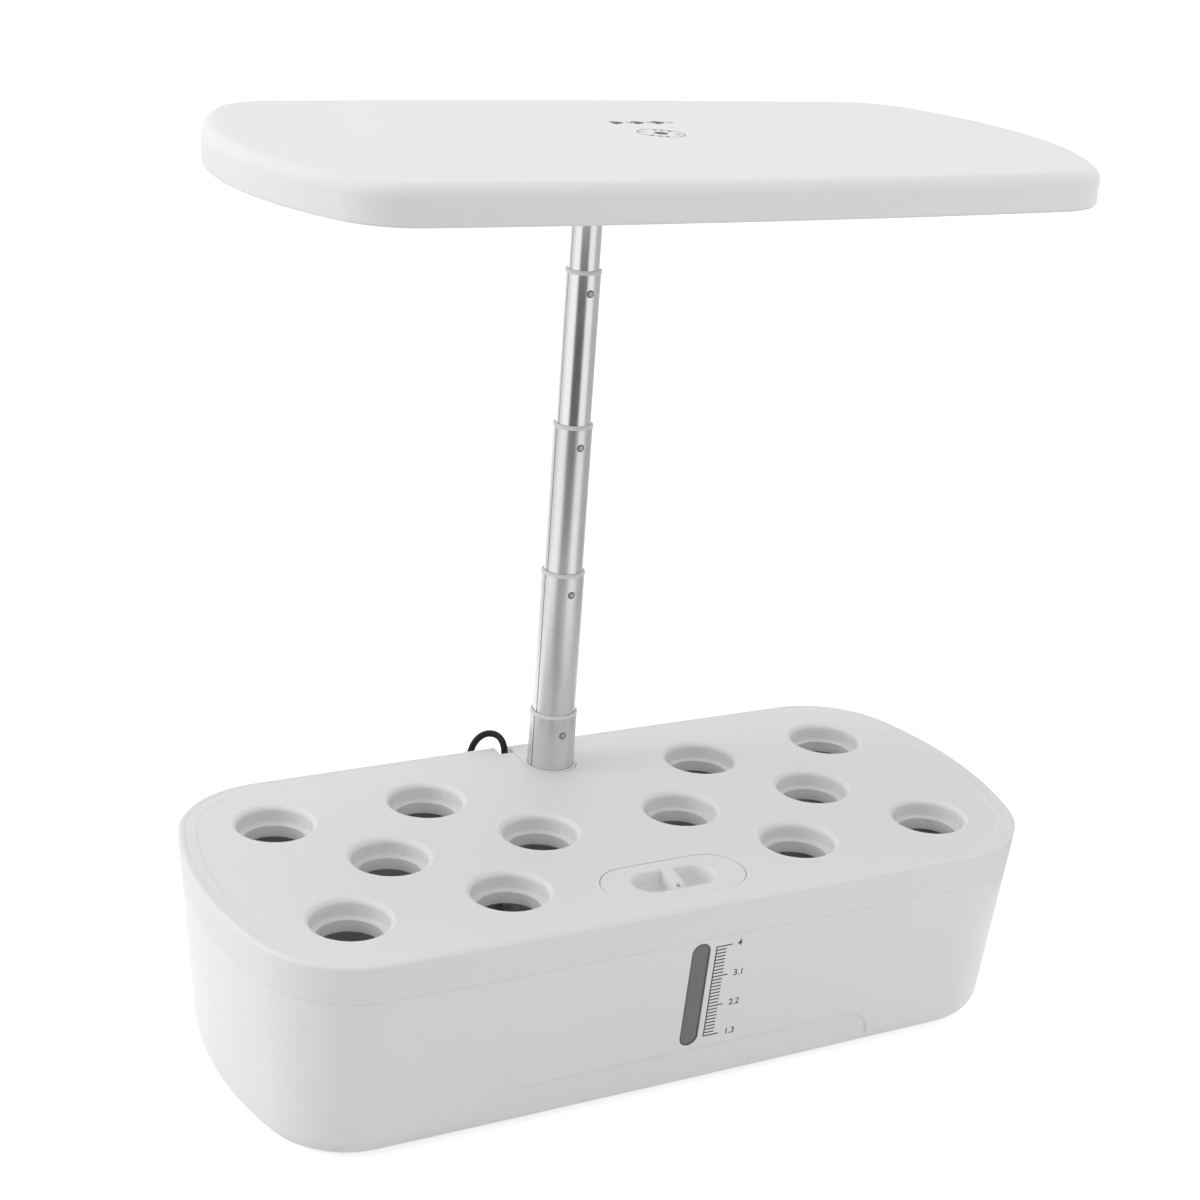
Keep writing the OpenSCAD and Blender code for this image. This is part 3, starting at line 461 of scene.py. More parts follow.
@dataclass
class Nodes:
    """A tree of shader nodes that is being put together."""

    tree: Tree

    def wire(self, target: Socket, value: object) -> None:
        """Gives a socket what it takes: another socket, or a plain value."""
        if isinstance(value, Socket):
            self.tree.links.new(value, target)
        else:
            target.default_value = value

    def add(
        self, kind: str, output: str | int, feeds: dict[str | int, object], **settings: object
    ) -> Socket:
        """Adds a shader node.

        Args:
            kind: Its type.
            output: The output that is wanted.
            feeds: What its inputs take.
            **settings: Values of its properties.

        Returns:
            The socket of that output.
        """
        made = adjusted(self.tree.nodes.new("ShaderNode" + kind), **settings)
        for label, value in feeds.items():
            self.wire(made.inputs[label], value)
        return made.outputs[output]

    def math(self, kind: str, first: object, second: object) -> Socket:
        """The sum, product or the like of two sockets or numbers."""
        return self.add("Math", 0, {0: first, 1: second}, operation=kind)

    def ranged(self, value: Socket, low: float, high: float) -> Socket:
        """A value from 0..1, mapped to a range."""
        return self.add("MapRange", "Result", {"Value": value, "To Min": low, "To Max": high})


class Effect(Nodes):
    """A shared effect: a group of shader nodes with named inputs and outputs."""

    def __init__(self, name: str, inputs: dict[str, float], outputs: tuple[str, ...]) -> None:
        """Makes the empty group with its sockets.

        Args:
            name: Its name.
            inputs: Its inputs with their usual values.
            outputs: Its outputs.
        """
        super().__init__(bpy.data.node_groups.new(name, "ShaderNodeTree"))
        number = "NodeSocketFloat"
        for label, value in inputs.items():
            made = self.tree.interface.new_socket(label, in_out="INPUT", socket_type=number)
            made.default_value = value
        for label in outputs:
            self.tree.interface.new_socket(label, in_out="OUTPUT", socket_type=number)
        self.given = self.tree.nodes.new("NodeGroupInput").outputs
        self.result = self.tree.nodes.new("NodeGroupOutput").inputs
        self.place = self.add("TexCoord", "Object", {})

    def noise(self, place: Socket, scale: str, detail: float) -> Socket:
        """A noise that is read at a place, with the scale of one of the inputs."""
        feeds = {"Vector": place, "Scale": self.given[scale], "Detail": detail}
        return self.add("TexNoise", "Fac", feeds)


def moulded_grain() -> Tree:
    """Fine texture of a moulded face, with soft variation over a larger area.

    Returns:
        The effect.
    """
    fx = Effect("moulded_grain", {"Grain": 2600.0, "Flow": 22.0}, ("Height", "Mottle"))
    fine_share, cell_share = 0.7, 0.3
    fine = fx.math("MULTIPLY", fx.noise(fx.place, "Grain", 3.0), fine_share)
    feeds = {"Vector": fx.place, "Scale": fx.given["Grain"]}
    cells = fx.add("TexVoronoi", "Distance", feeds, feature="SMOOTH_F1")
    fx.wire(fx.result["Height"], fx.math("ADD", fine, fx.math("MULTIPLY", cells, cell_share)))
    fx.wire(fx.result["Mottle"], fx.noise(fx.place, "Flow", 2.0))
    return fx.tree


def drawn_lines() -> Tree:
    """Fine lines along an upright tube, as drawing leaves them, with faint rubbed patches.

    Returns:
        The effect.
    """
    given = {"Lines": 1800.0, "Stretch": 0.01, "Patches": 60.0}
    fx = Effect("drawn_lines", given, ("Lines", "Rubbed"))
    x, y, z = fx.add("SeparateXYZ", 0, {0: fx.place}).node.outputs
    long = fx.math("MULTIPLY", z, fx.given["Stretch"])
    drawn = fx.add("CombineXYZ", 0, {"X": x, "Y": y, "Z": long})
    fx.wire(fx.result["Lines"], fx.noise(drawn, "Lines", 2.0))
    fx.wire(fx.result["Rubbed"], fx.noise(fx.place, "Patches", 4.0))
    return fx.tree


def handled() -> Tree:
    """Faint smears that handling leaves on a clean face.

    Returns:
        The effect.
    """
    contrast = 2.2
    fx = Effect("handled", {"Smear": 35.0}, ("Smear",))
    fx.wire(fx.result["Smear"], fx.math("POWER", fx.noise(fx.place, "Smear", 6.0), contrast))
    return fx.tree


@dataclass
class Effects:
    """The shared effects, each built once."""

    grain: Tree = field(default_factory=moulded_grain)
    lines: Tree = field(default_factory=drawn_lines)
    handling: Tree = field(default_factory=handled)


# --- finishes ---


class Surface(Nodes):
    """A material under construction, with the sockets of its Principled shader."""

    def __init__(self, name: str) -> None:
        """Makes the material and finds its shader.

        Args:
            name: Its name.
        """
        self.material = bpy.data.materials.new(name)
        self.material.use_nodes = True
        super().__init__(self.material.node_tree)
        self.sockets = self.tree.nodes["Principled BSDF"].inputs

    def effect(self, tree: Tree, output: str, **values: float) -> Socket:
        """Places a shared effect with its own values, and takes one of its outputs."""
        return self.add("Group", output, values, node_tree=tree)

    def constants(self, **values: object) -> None:
        """Sets sockets of the shader that are the same all over the surface."""
        for label, value in values.items():
            self.sockets[label.replace("_", " ")].default_value = value

    def bump(self, height: Socket, depth: float, strength: float) -> None:
        """Raises the surface by a value: 1 is the whole depth."""
        feeds = {"Height": height, "Distance": depth, "Strength": strength}
        self.wire(self.sockets["Normal"], self.add("Bump", "Normal", feeds))


def grey(level: float) -> Color:
    """A neutral colour."""
    return (level, level, level)


@dataclass(frozen=True)
class Finish:
    """What every finish has: its names, a colour and a roughness with its spread."""

    shades: ClassVar[Point2] = (0.988, 1.012)
    name: str
    slot: str
    color: Color
    roughness: float = 0.45
    spread: float = 0.05

    def shade(self, factor: float) -> tuple[float, ...]:
        """The colour made lighter or darker by a factor, ready for a socket."""
        return (*(min(c * factor, 1.0) for c in self.color), 1.0)

    def texture(self, made: Surface, fx: Effects) -> tuple[Socket, Socket]:
        """Gives a surface its own relief and gloss.

        Args:
            made: The surface.
            fx: The shared effects.

        Returns:
            What the colour and what the roughness follow, from 0 to 1.
        """
        raise NotImplementedError

    def build(self, fx: Effects) -> Material:
        """Makes the material.

        Args:
            fx: The shared effects.

        Returns:
            The material.
        """
        made = Surface(self.name)
        mask, smear = self.texture(made, fx)
        low, high = (self.shade(factor) for factor in self.shades)
        feeds = {"Factor": mask, MIX_LOW: low, MIX_HIGH: high}
        body = made.add("Mix", MIX_RESULT, feeds, data_type="RGBA")
        made.wire(made.sockets["Base Color"], body)
        least, most = self.roughness - self.spread, self.roughness + self.spread
        made.wire(made.sockets["Roughness"], made.ranged(smear, least, most))
        return made.material


@dataclass(frozen=True)
class Moulded(Finish):
    """Moulded plastic or rubber: even colour, fine grain, soft gloss."""

    grain: float = 2600.0
    depth: float = 0.00002
    gloss: float = 0.5
    coat: float = 0.0

    def texture(self, made: Surface, fx: Effects) -> tuple[Socket, Socket]:
        """Gives a surface moulded grain and an even gloss.

        Args:
            made: The surface.
            fx: The shared effects.

        Returns:
            What the colour and what the roughness follow, from 0 to 1.
        """
        mottle = made.effect(fx.grain, "Mottle", Grain=self.grain)
        made.bump(mottle.node.outputs["Height"], self.depth, 1.0)
        made.constants(Specular_IOR_Level=self.gloss, Coat_Weight=self.coat, Coat_Roughness=0.12)
        return mottle, made.effect(fx.handling, "Smear")


@dataclass(frozen=True)
class Metal(Finish):
    """Drawn, turned or plated metal."""

    shades: ClassVar[Point2] = (0.96, 1.03)
    lines: float = 1800.0
    depth: float = 0.000004

    def texture(self, made: Surface, fx: Effects) -> tuple[Socket, Socket]:
        """Gives a surface drawn lines and a metal's gloss.

        Args:
            made: The surface.
            fx: The shared effects.

        Returns:
            What the colour and what the roughness follow, from 0 to 1.
        """
        lines = made.effect(fx.lines, "Lines", Lines=self.lines)
        made.bump(lines, self.depth, 0.6)
        made.constants(Metallic=1.0)
        return lines.node.outputs["Rubbed"], lines


@dataclass(frozen=True)
class Lens(Finish):
    """Smoke grey plastic, drawn opaque: its dark colour is partly the plastic's tint and partly
    painted shade of the tank's inside.
    """

    shades: ClassVar[Point2] = (1.0, 1.12)

    def texture(self, made: Surface, fx: Effects) -> tuple[Socket, Socket]:
        """Gives a surface faint smears and a clear coat.

        Args:
            made: The surface.
            fx: The shared effects.

        Returns:
            What the colour and what the roughness follow, from 0 to 1.
        """
        made.constants(IOR=1.49, Coat_Weight=0.6, Coat_Roughness=0.05)
        smear = made.effect(fx.handling, "Smear", Smear=90.0)
        return smear, smear


FINISHES: dict[str, Finish] = {
    "tank": Moulded("tank_plastic", "tank_shell", grey(0.84), 0.38, 0.05, 1900.0, 0.000008),
    "deck": Moulded("deck_plastic", "deck_shell", grey(0.84), 0.52, 0.06, 2300.0, 0.00003),
    "lamp": Moulded("lamp_plastic", "lamp_shell", grey(0.84), 0.42, 0.05, 2300.0, 0.00001),
    # The window is opaque; its near-black colour is partly the smoke tint and partly painted shade
    # of the tank's inside behind it.
    "window": Lens("window_tint_and_inner_shade", "window", (0.1, 0.1, 0.103), 0.22, 0.04),
    "seal": Moulded("seal_rubber", "seal", grey(0.09), 0.7, 0.08),
    "foot": Moulded("foot_rubber", "foot_rubber", grey(0.33), 0.72, 0.08),
    "matt": Metal("matt_tube", "tube_satin", grey(0.7), 0.38, 0.05, 1700.0, 0.000009),
    "satin": Metal("satin_tube", "tube_satin", grey(0.78), 0.36, 0.05, 1800.0, 0.000008),
    "sheen": Metal("sheen_tube", "tube_satin", grey(0.83), 0.32, 0.05, 2200.0, 0.000005),
    "bright": Metal("bright_tube", "tube_bright", grey(0.92), 0.25, 0.04, 2600.0, 0.000002),
    "collar": Moulded("collar_plastic", "collar_plastic", grey(0.7), 0.4),
    # seat: near-black layer on each button's shoulder, painted shade where the recess round the
    # dome lies in shadow.
    "seat": Moulded("seat_shadow", "button_steel", grey(0.1), 0.6),
    "bush": Moulded("bush_plastic", "bush_plastic", grey(0.85), 0.5),
    "button": Metal("button_steel", "button_steel", grey(0.52), 0.45),
    "spring": Metal("spring_steel", "spring_steel", (0.5, 0.5, 0.52), 0.35, 0.06),
    "screw": Metal("screw_steel", "screw_steel", grey(0.6), 0.32, 0.06),
    "pump": Moulded("pump_plastic", "pump_plastic", (0.045, 0.048, 0.052), 0.5, 0.08),
    "impeller": Moulded("impeller_plastic", "impeller_plastic", grey(0.8), 0.4),
    "cup": Moulded("cup_rubber", "cup_rubber", (0.06, 0.06, 0.065), 0.65, 0.08),
    "cord": Moulded(
        "cord_sheath", "cord_black", (0.01, 0.01, 0.011), 0.5, 0.08, 3200.0, 0.00001, 0.28
    ),
    "adapter": Moulded(
        "adapter_plastic", "adapter_plastic", (0.02, 0.02, 0.022), 0.5, 0.06, 1800.0, 0.00004
    ),
    "pin": Metal("pin_plating", "pin_brass", (0.74, 0.69, 0.55), 0.25),
    "board": Moulded("board_coating", "board_white", (0.8, 0.8, 0.78)),
    "led": Moulded("led_phosphor", "led_yellow", (0.8, 0.7, 0.3), 0.25, 0.04, coat=0.5),
    "green": Moulded("circuit_board", "board_green", (0.04, 0.2, 0.1), 0.35),
    "ink": Moulded("printed_ink", "window", (0.035, 0.035, 0.037), 0.5),
    "pale_ink": Moulded("pale_ink", "window", (0.26, 0.26, 0.265), 0.5),
}

# The nodes of the frame that each finish is for. A number at their end may be left out.
FINISHED_NODES = {
    "tank": "tank",
    "window": "level_window",
    "seal": "window_seal",
    "foot": "rubber_feet",
    "deck": "deck fill_cap mast_base",
    "matt": "mast_tube_1",
    "satin": "mast_tube_2",
    "sheen": "mast_tube_3",
    "bright": "mast_tube_4 mast_tube_5",
    "collar": "mast_collar",
    "bush": "mast_bush",
    "button": "snap_button",
    "spring": "button_spring",
    "screw": "mast_base_screws lamp_screws",
    "pump": "pump_body pump_cover pump_outlet",
    "impeller": "pump_impeller",
    "cup": "pump_cups",
    "cord": "cord_gland power_cord cord_coil cord_tail cord_tie",
    "adapter": "adapter_case",
    "pin": "adapter_pins",
    "lamp": "lamp_cover lamp_tray lamp_socket",
    "board": "led_board",
    "led": "leds",
    "green": "touch_board",
}
NODE_FINISH = {node: key for key, nodes in FINISHED_NODES.items() for node in nodes.split()}


@dataclass
class Wardrobe:
    """Makes the finishes and dresses pieces in them."""

    fx: Effects = field(default_factory=Effects)
    made: dict[str, Material] = field(default_factory=dict)

    def material(self, finish: str) -> Material:
        """The material of a finish, built on first use."""
        if finish not in self.made:
            self.made[finish] = FINISHES[finish].build(self.fx)
        return self.made[finish]

    def fit(self, piece: Solid, finish: str, body: Body, *replaced: str) -> None:
        """Dresses a new piece, lets it ride on a body and reports it.

        Args:
            piece: The piece.
            finish: Short name of its finish.
            body: The body that carries it.
            *replaced: Nodes of the frame that it stands for.
        """
        piece.data.materials.clear()
        piece.data.materials.append(self.material(finish))
        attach(piece, body.value)
        if replaced:
            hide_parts(*replaced)
        LOG.info("made %s, on %s", piece.name, body.value)

    def dress_nodes(self) -> None:
        """Gives every node of the frame its material."""
        for name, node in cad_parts.items():
            finish = NODE_FINISH[name if name in NODE_FINISH else name.rsplit("_", 1)[0]]
            for slot in node.material_slots:
                adjusted(slot, link="OBJECT", material=self.material(finish))
            LOG.info("finished node %s as %s", name, finish)


# --- camera and studio ---


@dataclass(frozen=True)
class Viewpoint:
    """The camera: where it looks from, and its lens."""

    target: Point3 = (0.0452, 0.0314, 0.1865)
    azimuth: float = -30.46
    elevation: float = 20.77
    roll: float = 5.05
    distance: float = 1.0651
    lens: float = 68.19
    shift: Point2 = (-0.0669, 0.0057)

    def build(self) -> None:
        """Makes the camera and sets it as the scene's."""
        az, el, roll = (math.radians(v) for v in (self.azimuth, self.elevation, self.roll))
        level = Vector((math.sin(az) * math.cos(el), -math.cos(az) * math.cos(el), math.sin(el)))
        right = Vector((math.cos(az), math.sin(az), 0))
        up = level.cross(right)
        across = math.cos(roll) * right + math.sin(roll) * up
        upright = -math.sin(roll) * right + math.cos(roll) * up
        place = Matrix((across, upright, level)).transposed().to_4x4()
        place.translation = Vector(self.target) + self.distance * level
        data = adjusted(
            bpy.data.cameras.new("viewpoint"), lens=self.lens, sensor_fit="HORIZONTAL",
            shift_x=self.shift[0], shift_y=self.shift[1], clip_start=0.01,
        )
        bpy.context.scene.camera = adjusted(in_scene("viewpoint", data), matrix_world=place)


@dataclass(frozen=True)
class Softbox:
    """A large soft light that points at the object and leaves no glare on it."""

    name: str
    place: Point3
    size: float
    power: float
    aim: Point3 = (0.0, 0.0, 0.2)

    def build(self) -> None:
        """Makes the light."""
        data = bpy.data.lights.new(self.name, "AREA")
        adjusted(data, shape="DISK", size=self.size, energy=self.power)
        way = (Vector(self.aim) - Vector(self.place)).to_track_quat("-Z", "Y")
        light = in_scene(self.name, data)
        adjusted(light, location=self.place, rotation_euler=way.to_euler(), visible_glossy=False)


@dataclass(frozen=True)
class Flag:
    """An upright card beside the mast that only its reflections show."""

    name: str
    bearing: float
    distance: float
    half_angle: float
    height: float
    level: float

    def build(self) -> None:
        """Makes the card, square to the mast."""
        half = self.distance * math.tan(math.radians(self.half_angle))
        bm = bmesh.new()
        corners = bar(-half, 0, half, self.height)
        bm.faces.new([bm.verts.new((self.distance, y, z)) for y, z in corners])
        card = new_object(self.name, bm)
        turn = Matrix.Rotation(math.radians(self.bearing), 4, "Z")
        card.data.transform(Matrix.Translation((0, MAST_Y, 0)) @ turn)
        made = Surface(self.name)
        made.constants(
            Roughness=1.0, Specular_IOR_Level=0.0, Base_Color=(0, 0, 0, 1),
            Emission_Color=(1, 1, 1, 1), Emission_Strength=self.level,
        )
        card.data.materials.append(made.material)
        for kind in ("camera", "diffuse", "shadow", "transmission", "volume_scatter"):
            setattr(card, f"visible_{kind}", False)


@dataclass
class Studio:
    """Pale floor, white surround and soft light."""

    floor_half: float = 4.0
    floor_level: float = 0.65
    floor_lift: float = 0.7
    surround: float = 0.73
    lights: tuple[Softbox, ...] = (
        Softbox("side", (-1.7, 0.5, 0.7), 0.9, 9.2),
        Softbox("low", (0.7, -0.7, 0.08), 0.5, 1.45, (0.0, 0.0, 0.05)),
        Softbox("top", (0.0, 0.1, 2.0), 1.2, 3.9),
    )
    flags: tuple[Flag, ...] = (
        Flag("front_flag", -115.5, 0.45, 30.0, 0.3, 0.05),
        Flag("right_flag", -8.0, 0.3, 34.0, 0.34, 0.44),
        Flag("pale_flag", -63.5, 0.5, 21.0, 0.36, 0.86),
        Flag("left_flag", 139.0, 0.4, 27.0, 0.34, 0.72),
        Flag("bright_flag", -169.8, 0.5, 24.2, 0.36, 0.96),
    )

    def seen(self, nodes: Nodes) -> Socket:
        """A value of 1 for rays from the camera, off gloss and through glass.

        Args:
            nodes: The tree that gets it.

        Returns:
            Its socket.
        """
        total = nodes.add("LightPath", "Is Camera Ray", {})
        for label in ("Is Glossy Ray", "Is Transmission Ray"):
            total = nodes.math("MAXIMUM", total, nodes.add("LightPath", label, {}))
        return total

    def build_world(self) -> None:
        """Makes the surround: white where it is seen, softer as light."""
        world = adjusted(bpy.data.worlds.new("surround"), use_nodes=True)
        shader = world.node_tree.nodes["Background"]
        shader.inputs["Color"].default_value = (1, 1, 1, 1)
        nodes = Nodes(world.node_tree)
        level = nodes.ranged(self.seen(nodes), self.surround, 1.0)
        nodes.wire(shader.inputs["Strength"], level)
        bpy.context.scene.world = world

    def build_floor(self) -> None:
        """Makes the floor, which keeps the object's shadow and fades to white."""
        half = self.floor_half
        bm = bmesh.new()
        bm.faces.new([bm.verts.new((x, y, 0)) for x, y in bar(-half, -half, half, half)])
        floor = new_object("floor", bm)
        made = Surface("floor_paint")
        made.constants(
            Roughness=0.9, Specular_IOR_Level=0.0, Base_Color=(*grey(self.floor_level), 1),
            Emission_Color=(1, 1, 1, 1),
        )
        lift = made.math("MULTIPLY", self.seen(made), self.floor_lift)
        made.wire(made.sockets["Emission Strength"], lift)
        floor.data.materials.append(made.material)

    def build(self) -> None:
        """Makes surround, floor and lights, and sets the plain view transform."""
        bpy.context.scene.view_settings.view_transform = "Standard"
        self.build_world()
        self.build_floor()
        for item in (*self.lights, *self.flags):
            item.build()


# --- sub-assemblies ---


@dataclass
class SubAssembly:
    """Pieces that are sized, built and dressed together."""

    wardrobe: Wardrobe

    def build(self) -> None:
        """Makes the pieces."""
        raise NotImplementedError


# --- cord ---


@dataclass
class PowerCord(SubAssembly):
    """Thin lead: an arch over the rear edge, a tied coil on the table, and its adapter."""

    diameter: float = 0.0033
    length: float = 1.5
    exit: Point3 = (-0.0162, 0.0832, 0.0945)
    lead: tuple[Point3, ...] = (
        (-0.0162, 0.0832, 0.0945), (-0.0162, 0.0833, 0.0976), (-0.0162, 0.0845, 0.1004),
        (-0.0164, 0.087, 0.1026), (-0.0176, 0.09, 0.104), (-0.0204, 0.0926, 0.1043),
        (-0.0238, 0.094, 0.103), (-0.0268, 0.0946, 0.1), (-0.0288, 0.0948, 0.0956),
        (-0.0302, 0.0948, 0.089), (-0.0314, 0.0946, 0.08), (-0.0326, 0.0942, 0.07),
        (-0.034, 0.0938, 0.06), (-0.0356, 0.0932, 0.05), (-0.0376, 0.0926, 0.04),
        (-0.04, 0.0918, 0.03), (-0.0434, 0.091, 0.0206), (-0.048, 0.0904, 0.0124),
        (-0.054, 0.0901, 0.006), (-0.0616, 0.09, 0.0026), (-0.07, 0.09, 0.00176),
        (-0.08, 0.09, 0.00176), (-0.09, 0.0902, 0.00176),
    )
    tail: tuple[Point3, ...] = (
        (-0.075, 0.1256, 0.011), (-0.0676, 0.121, 0.0086), (-0.06, 0.1176, 0.0054),
        (-0.052, 0.115, 0.003), (-0.044, 0.1132, 0.0022), (-0.036, 0.1122, 0.0036),
        (-0.03, 0.112, 0.0056), (-0.024, 0.112, 0.007),
    )
    coil_middle: Point2 = (-0.095, 0.1125)
    outer_turn: float = 0.0224
    inner_turn: float = 0.0156
    low: float = 0.00171
    layer: float = 0.00338
    layers: int = 4
    spiral: float = 2.0
    climb: float = 0.65
    points_each_turn: int = 20

    def coil(self) -> list[Point3]:
        """Points of the coil: flat layers that wind inwards and outwards by turns.

        Returns:
            The points, from the lowest layer up.
        """
        each = self.spiral + self.climb
        turns = self.layers * each
        count = round(turns * self.points_each_turn)
        x, y = self.coil_middle
        points = []
        for k in range(count + 1):
            turn = turns * k / count
            layer = min(int(turn / each + 1e-6), self.layers - 1)
            into = turn - layer * each
            wound = min(into / self.spiral, 1.0)
            if layer % 2:
                wound = 1 - wound
            radius = self.outer_turn + (self.inner_turn - self.outer_turn) * wound
            rise = max(into - self.spiral, 0.0) / self.climb if layer < self.layers - 1 else 0.0
            height = self.low + self.layer * (layer + rise * rise * (3 - 2 * rise))
            angle = -math.pi / 2 - 2 * math.pi * turn
            points.append((x + radius * math.cos(angle), y + radius * math.sin(angle), height))
        return points

    def build(self) -> None:
        data = adjusted(
            bpy.data.curves.new("cord", "CURVE"), dimensions="3D", resolution_u=4,
            bevel_depth=self.diameter / 2, bevel_resolution=5, use_fill_caps=True,
        )
        route = [*self.lead, *self.coil(), *self.tail]
        line = data.splines.new("BEZIER")
        line.bezier_points.add(len(route) - 1)
        for point, place in zip(line.bezier_points, route):
            adjusted(point, co=place, handle_left_type="AUTO", handle_right_type="AUTO")
        line.use_smooth = True
        made = in_scene("cord", data)
        self.wardrobe.fit(made, "cord", Body.BASE, "power_cord", "cord_coil", "cord_tail")


# --- tank ---


@dataclass
class Tank(SubAssembly):
    """Water tank: a tub with leaning walls, a lip for the deck and a recess low in front."""

    wall: float = 0.0032
    floor: float = 0.0026
    foot_height: float = 0.0015
    foot_round: float = 0.0105
    edge: float = 0.00011
    skirt: float = 0.0016
    lip_gap: float = 0.0005
    lip: float = 0.004
    window: Point2 = (0.054, 0.0092)
    recess_half: float = 0.1
    recess_top: float = 0.023
    recess_depth: float = 0.0011
    recess_corner: float = 0.012
    recess_slope: float = 0.0016
    recess_steps: Spots = ((1.0, 1.0), (0.72, 0.86), (0.28, 0.2))
    recess_skim: float = 0.00002
    recess_flare: float = 0.0001
    pad_spots: Spots = (
        (-0.15, -0.052), (0.15, -0.052), (-0.15, 0.052), (0.15, 0.052)
    )
    pad_radius: float = 0.007
    pad_pocket: float = 0.0006
    screw_spots: Spots = (
        (-0.02, 0.054), (0.02, 0.054), (-0.02, 0.071), (0.02, 0.071)
    )
    boss_radius: float = 0.0045
    boss_height: float = 0.004
    bore: float = 0.0016
    bore_depth: float = 0.0006
    base_half: float = 0.0135
    base_depth: float = 0.012

    def profile(self) -> Outline:
        """Profile from the bottom up the outside, over the lip and down the inside.

        Returns:
            Points of (inset, height).
        """
        step, lip_top = self.skirt + self.lip_gap, SEAM + self.lip
        low, radius = self.foot_height + self.floor, self.foot_round - self.wall
        return [
            *foot_edge(0, self.foot_height, self.foot_round, 14),
            (lean(SEAM - self.edge), SEAM - self.edge),
            (lean(SEAM) + self.edge / 3, SEAM - self.edge / 4),
            (lean(SEAM) + self.edge, SEAM),
            (step + lean(SEAM), SEAM),
            (step + lean(lip_top), lip_top),
            (self.wall + lean(lip_top), lip_top),
            *reversed(foot_edge(self.wall, low, radius, 8)),
        ]

    def recess_outline(self, inset: float) -> Outline:
        """Outline of the recess, with its upper edge at the height 0.

        Args:
            inset: How far the outline is moved inwards.

        Returns:
            Its points.
        """
        half, top, r = self.recess_half - inset, -inset, self.recess_corner
        low = -self.recess_top - PAST
        right = arc((half - r, top - r), r, 0, 90, 16)
        left = arc((r - half, top - r), r, 90, 180, 16)
        return [(half, low), *right, *left, (-half, low)]

    def recess(self) -> Solid:
        """The solid that cuts the recess, with a soft slope round it.

        Returns:
            The solid.
        """
        steps = [(self.recess_slope * x, -self.recess_depth * z) for x, z in self.recess_steps]
        steps += [(0, self.recess_skim), (-self.recess_flare, self.foot_round + PAST)]
        levels = [(self.recess_outline(inset), height) for inset, height in steps]
        return lofted("recess", levels, on_front(0, self.recess_top))

    def build(self) -> None:
        """Makes the tank."""
        shell = swept("tank_shell", BODY_PLAN, self.profile())
        floor = self.foot_height + self.floor
        high = floor + self.boss_height
        bosses = posts(self.screw_spots, self.boss_radius, floor - INTO, high, 32)
        carve(shell, bosses, Cut.ADD)
        slot = moved(stadium(*self.window, 40), 0, 0, 90)
        base = bar(-self.base_half, REAR_EDGE - self.base_depth, self.base_half, REAR_EDGE + PAST)
        pocket = self.foot_height + self.pad_pocket
        tools = (
            prism("opening", slot, -self.wall - PAST, PAST, on_front(*WINDOW)),
            posts(self.pad_spots, self.pad_radius, -PAST, pocket, 48),
            posts(self.screw_spots, self.bore, floor - self.bore_depth, high + PAST, 24),
            prism("lip_gap", base, SEAM, SEAM + self.lip + PAST),
        )
        carve(shell, merged("tools", *tools), Cut.TAKE)
        carve(shell, self.recess(), Cut.TAKE)
        soften(shell)
        self.wardrobe.fit(shell, "tank", Body.BASE, "tank")


@dataclass
class LevelGauge(SubAssembly):
    """Printed marks beside the window, a line, ticks and numbers, and the seal's bead."""

    x: float = 0.009
    low: float = 0.0284
    high: float = 0.0757
    steps: int = 27
    long_every: int = 9
    long_tick: float = 0.0077
    short_tick: float = 0.0051
    line: float = 0.0006
    numbers: tuple[str, ...] = ("1.3", "2.2", "3.1", "4")
    number_x: float = 0.0196
    number_height: float = 0.0031
    behind: float = 0.0002
    proud: float = 0.00003
    bead_length: float = 0.0538
    bead_width: float = 0.009
    bead: float = 0.0006
    bead_low: float = -0.0004
    bead_high: float = -0.00008
    bead_round: float = 0.00012

    def level(self, share: float) -> float:
        """Height of a mark at a share of the scale."""
        return self.low + (self.high - self.low) * share

    def mark(self, outline: Outline, x: float, height: float) -> Solid:
        """A thin layer of ink on the front wall."""
        return prism("mark", outline, -self.behind, self.proud, on_front(x, height))

    def build(self) -> None:
        """Makes the marks as thin layers of ink, and the bead."""
        half, marks = self.line / 2, []
        for k in range(self.steps + 1):
            reach = self.short_tick if k % self.long_every else self.long_tick
            tick = bar(half, -half, reach, half)
            marks.append(self.mark(tick, self.x, self.level(k / self.steps)))
        rise = (self.high - self.low) / 2 / math.cos(WALL_TILT) + half
        marks.append(self.mark(bar(-half, -rise, half, rise), self.x, self.level(0.5)))
        for k, text in enumerate(self.numbers):
            place = on_front(self.number_x, self.level(k / (len(self.numbers) - 1)))
            marks.append(numeral(text, self.number_height, 2 * self.proud, place))
        self.wardrobe.fit(merged("level_scale", *marks), "ink", Body.BASE)

        outer, inner = (
            moved(stadium(self.bead_length - cut, self.bead_width - cut, 40), 0, 0, 90)
            for cut in (0, 2 * self.bead)
        )
        bead = hoop("window_bead", outer, inner, self.bead_low, self.bead_high, on_front(*WINDOW))
        soften(bead, self.bead_round)
        self.wardrobe.fit(bead, "seal", Body.BASE)


# --- deck ---


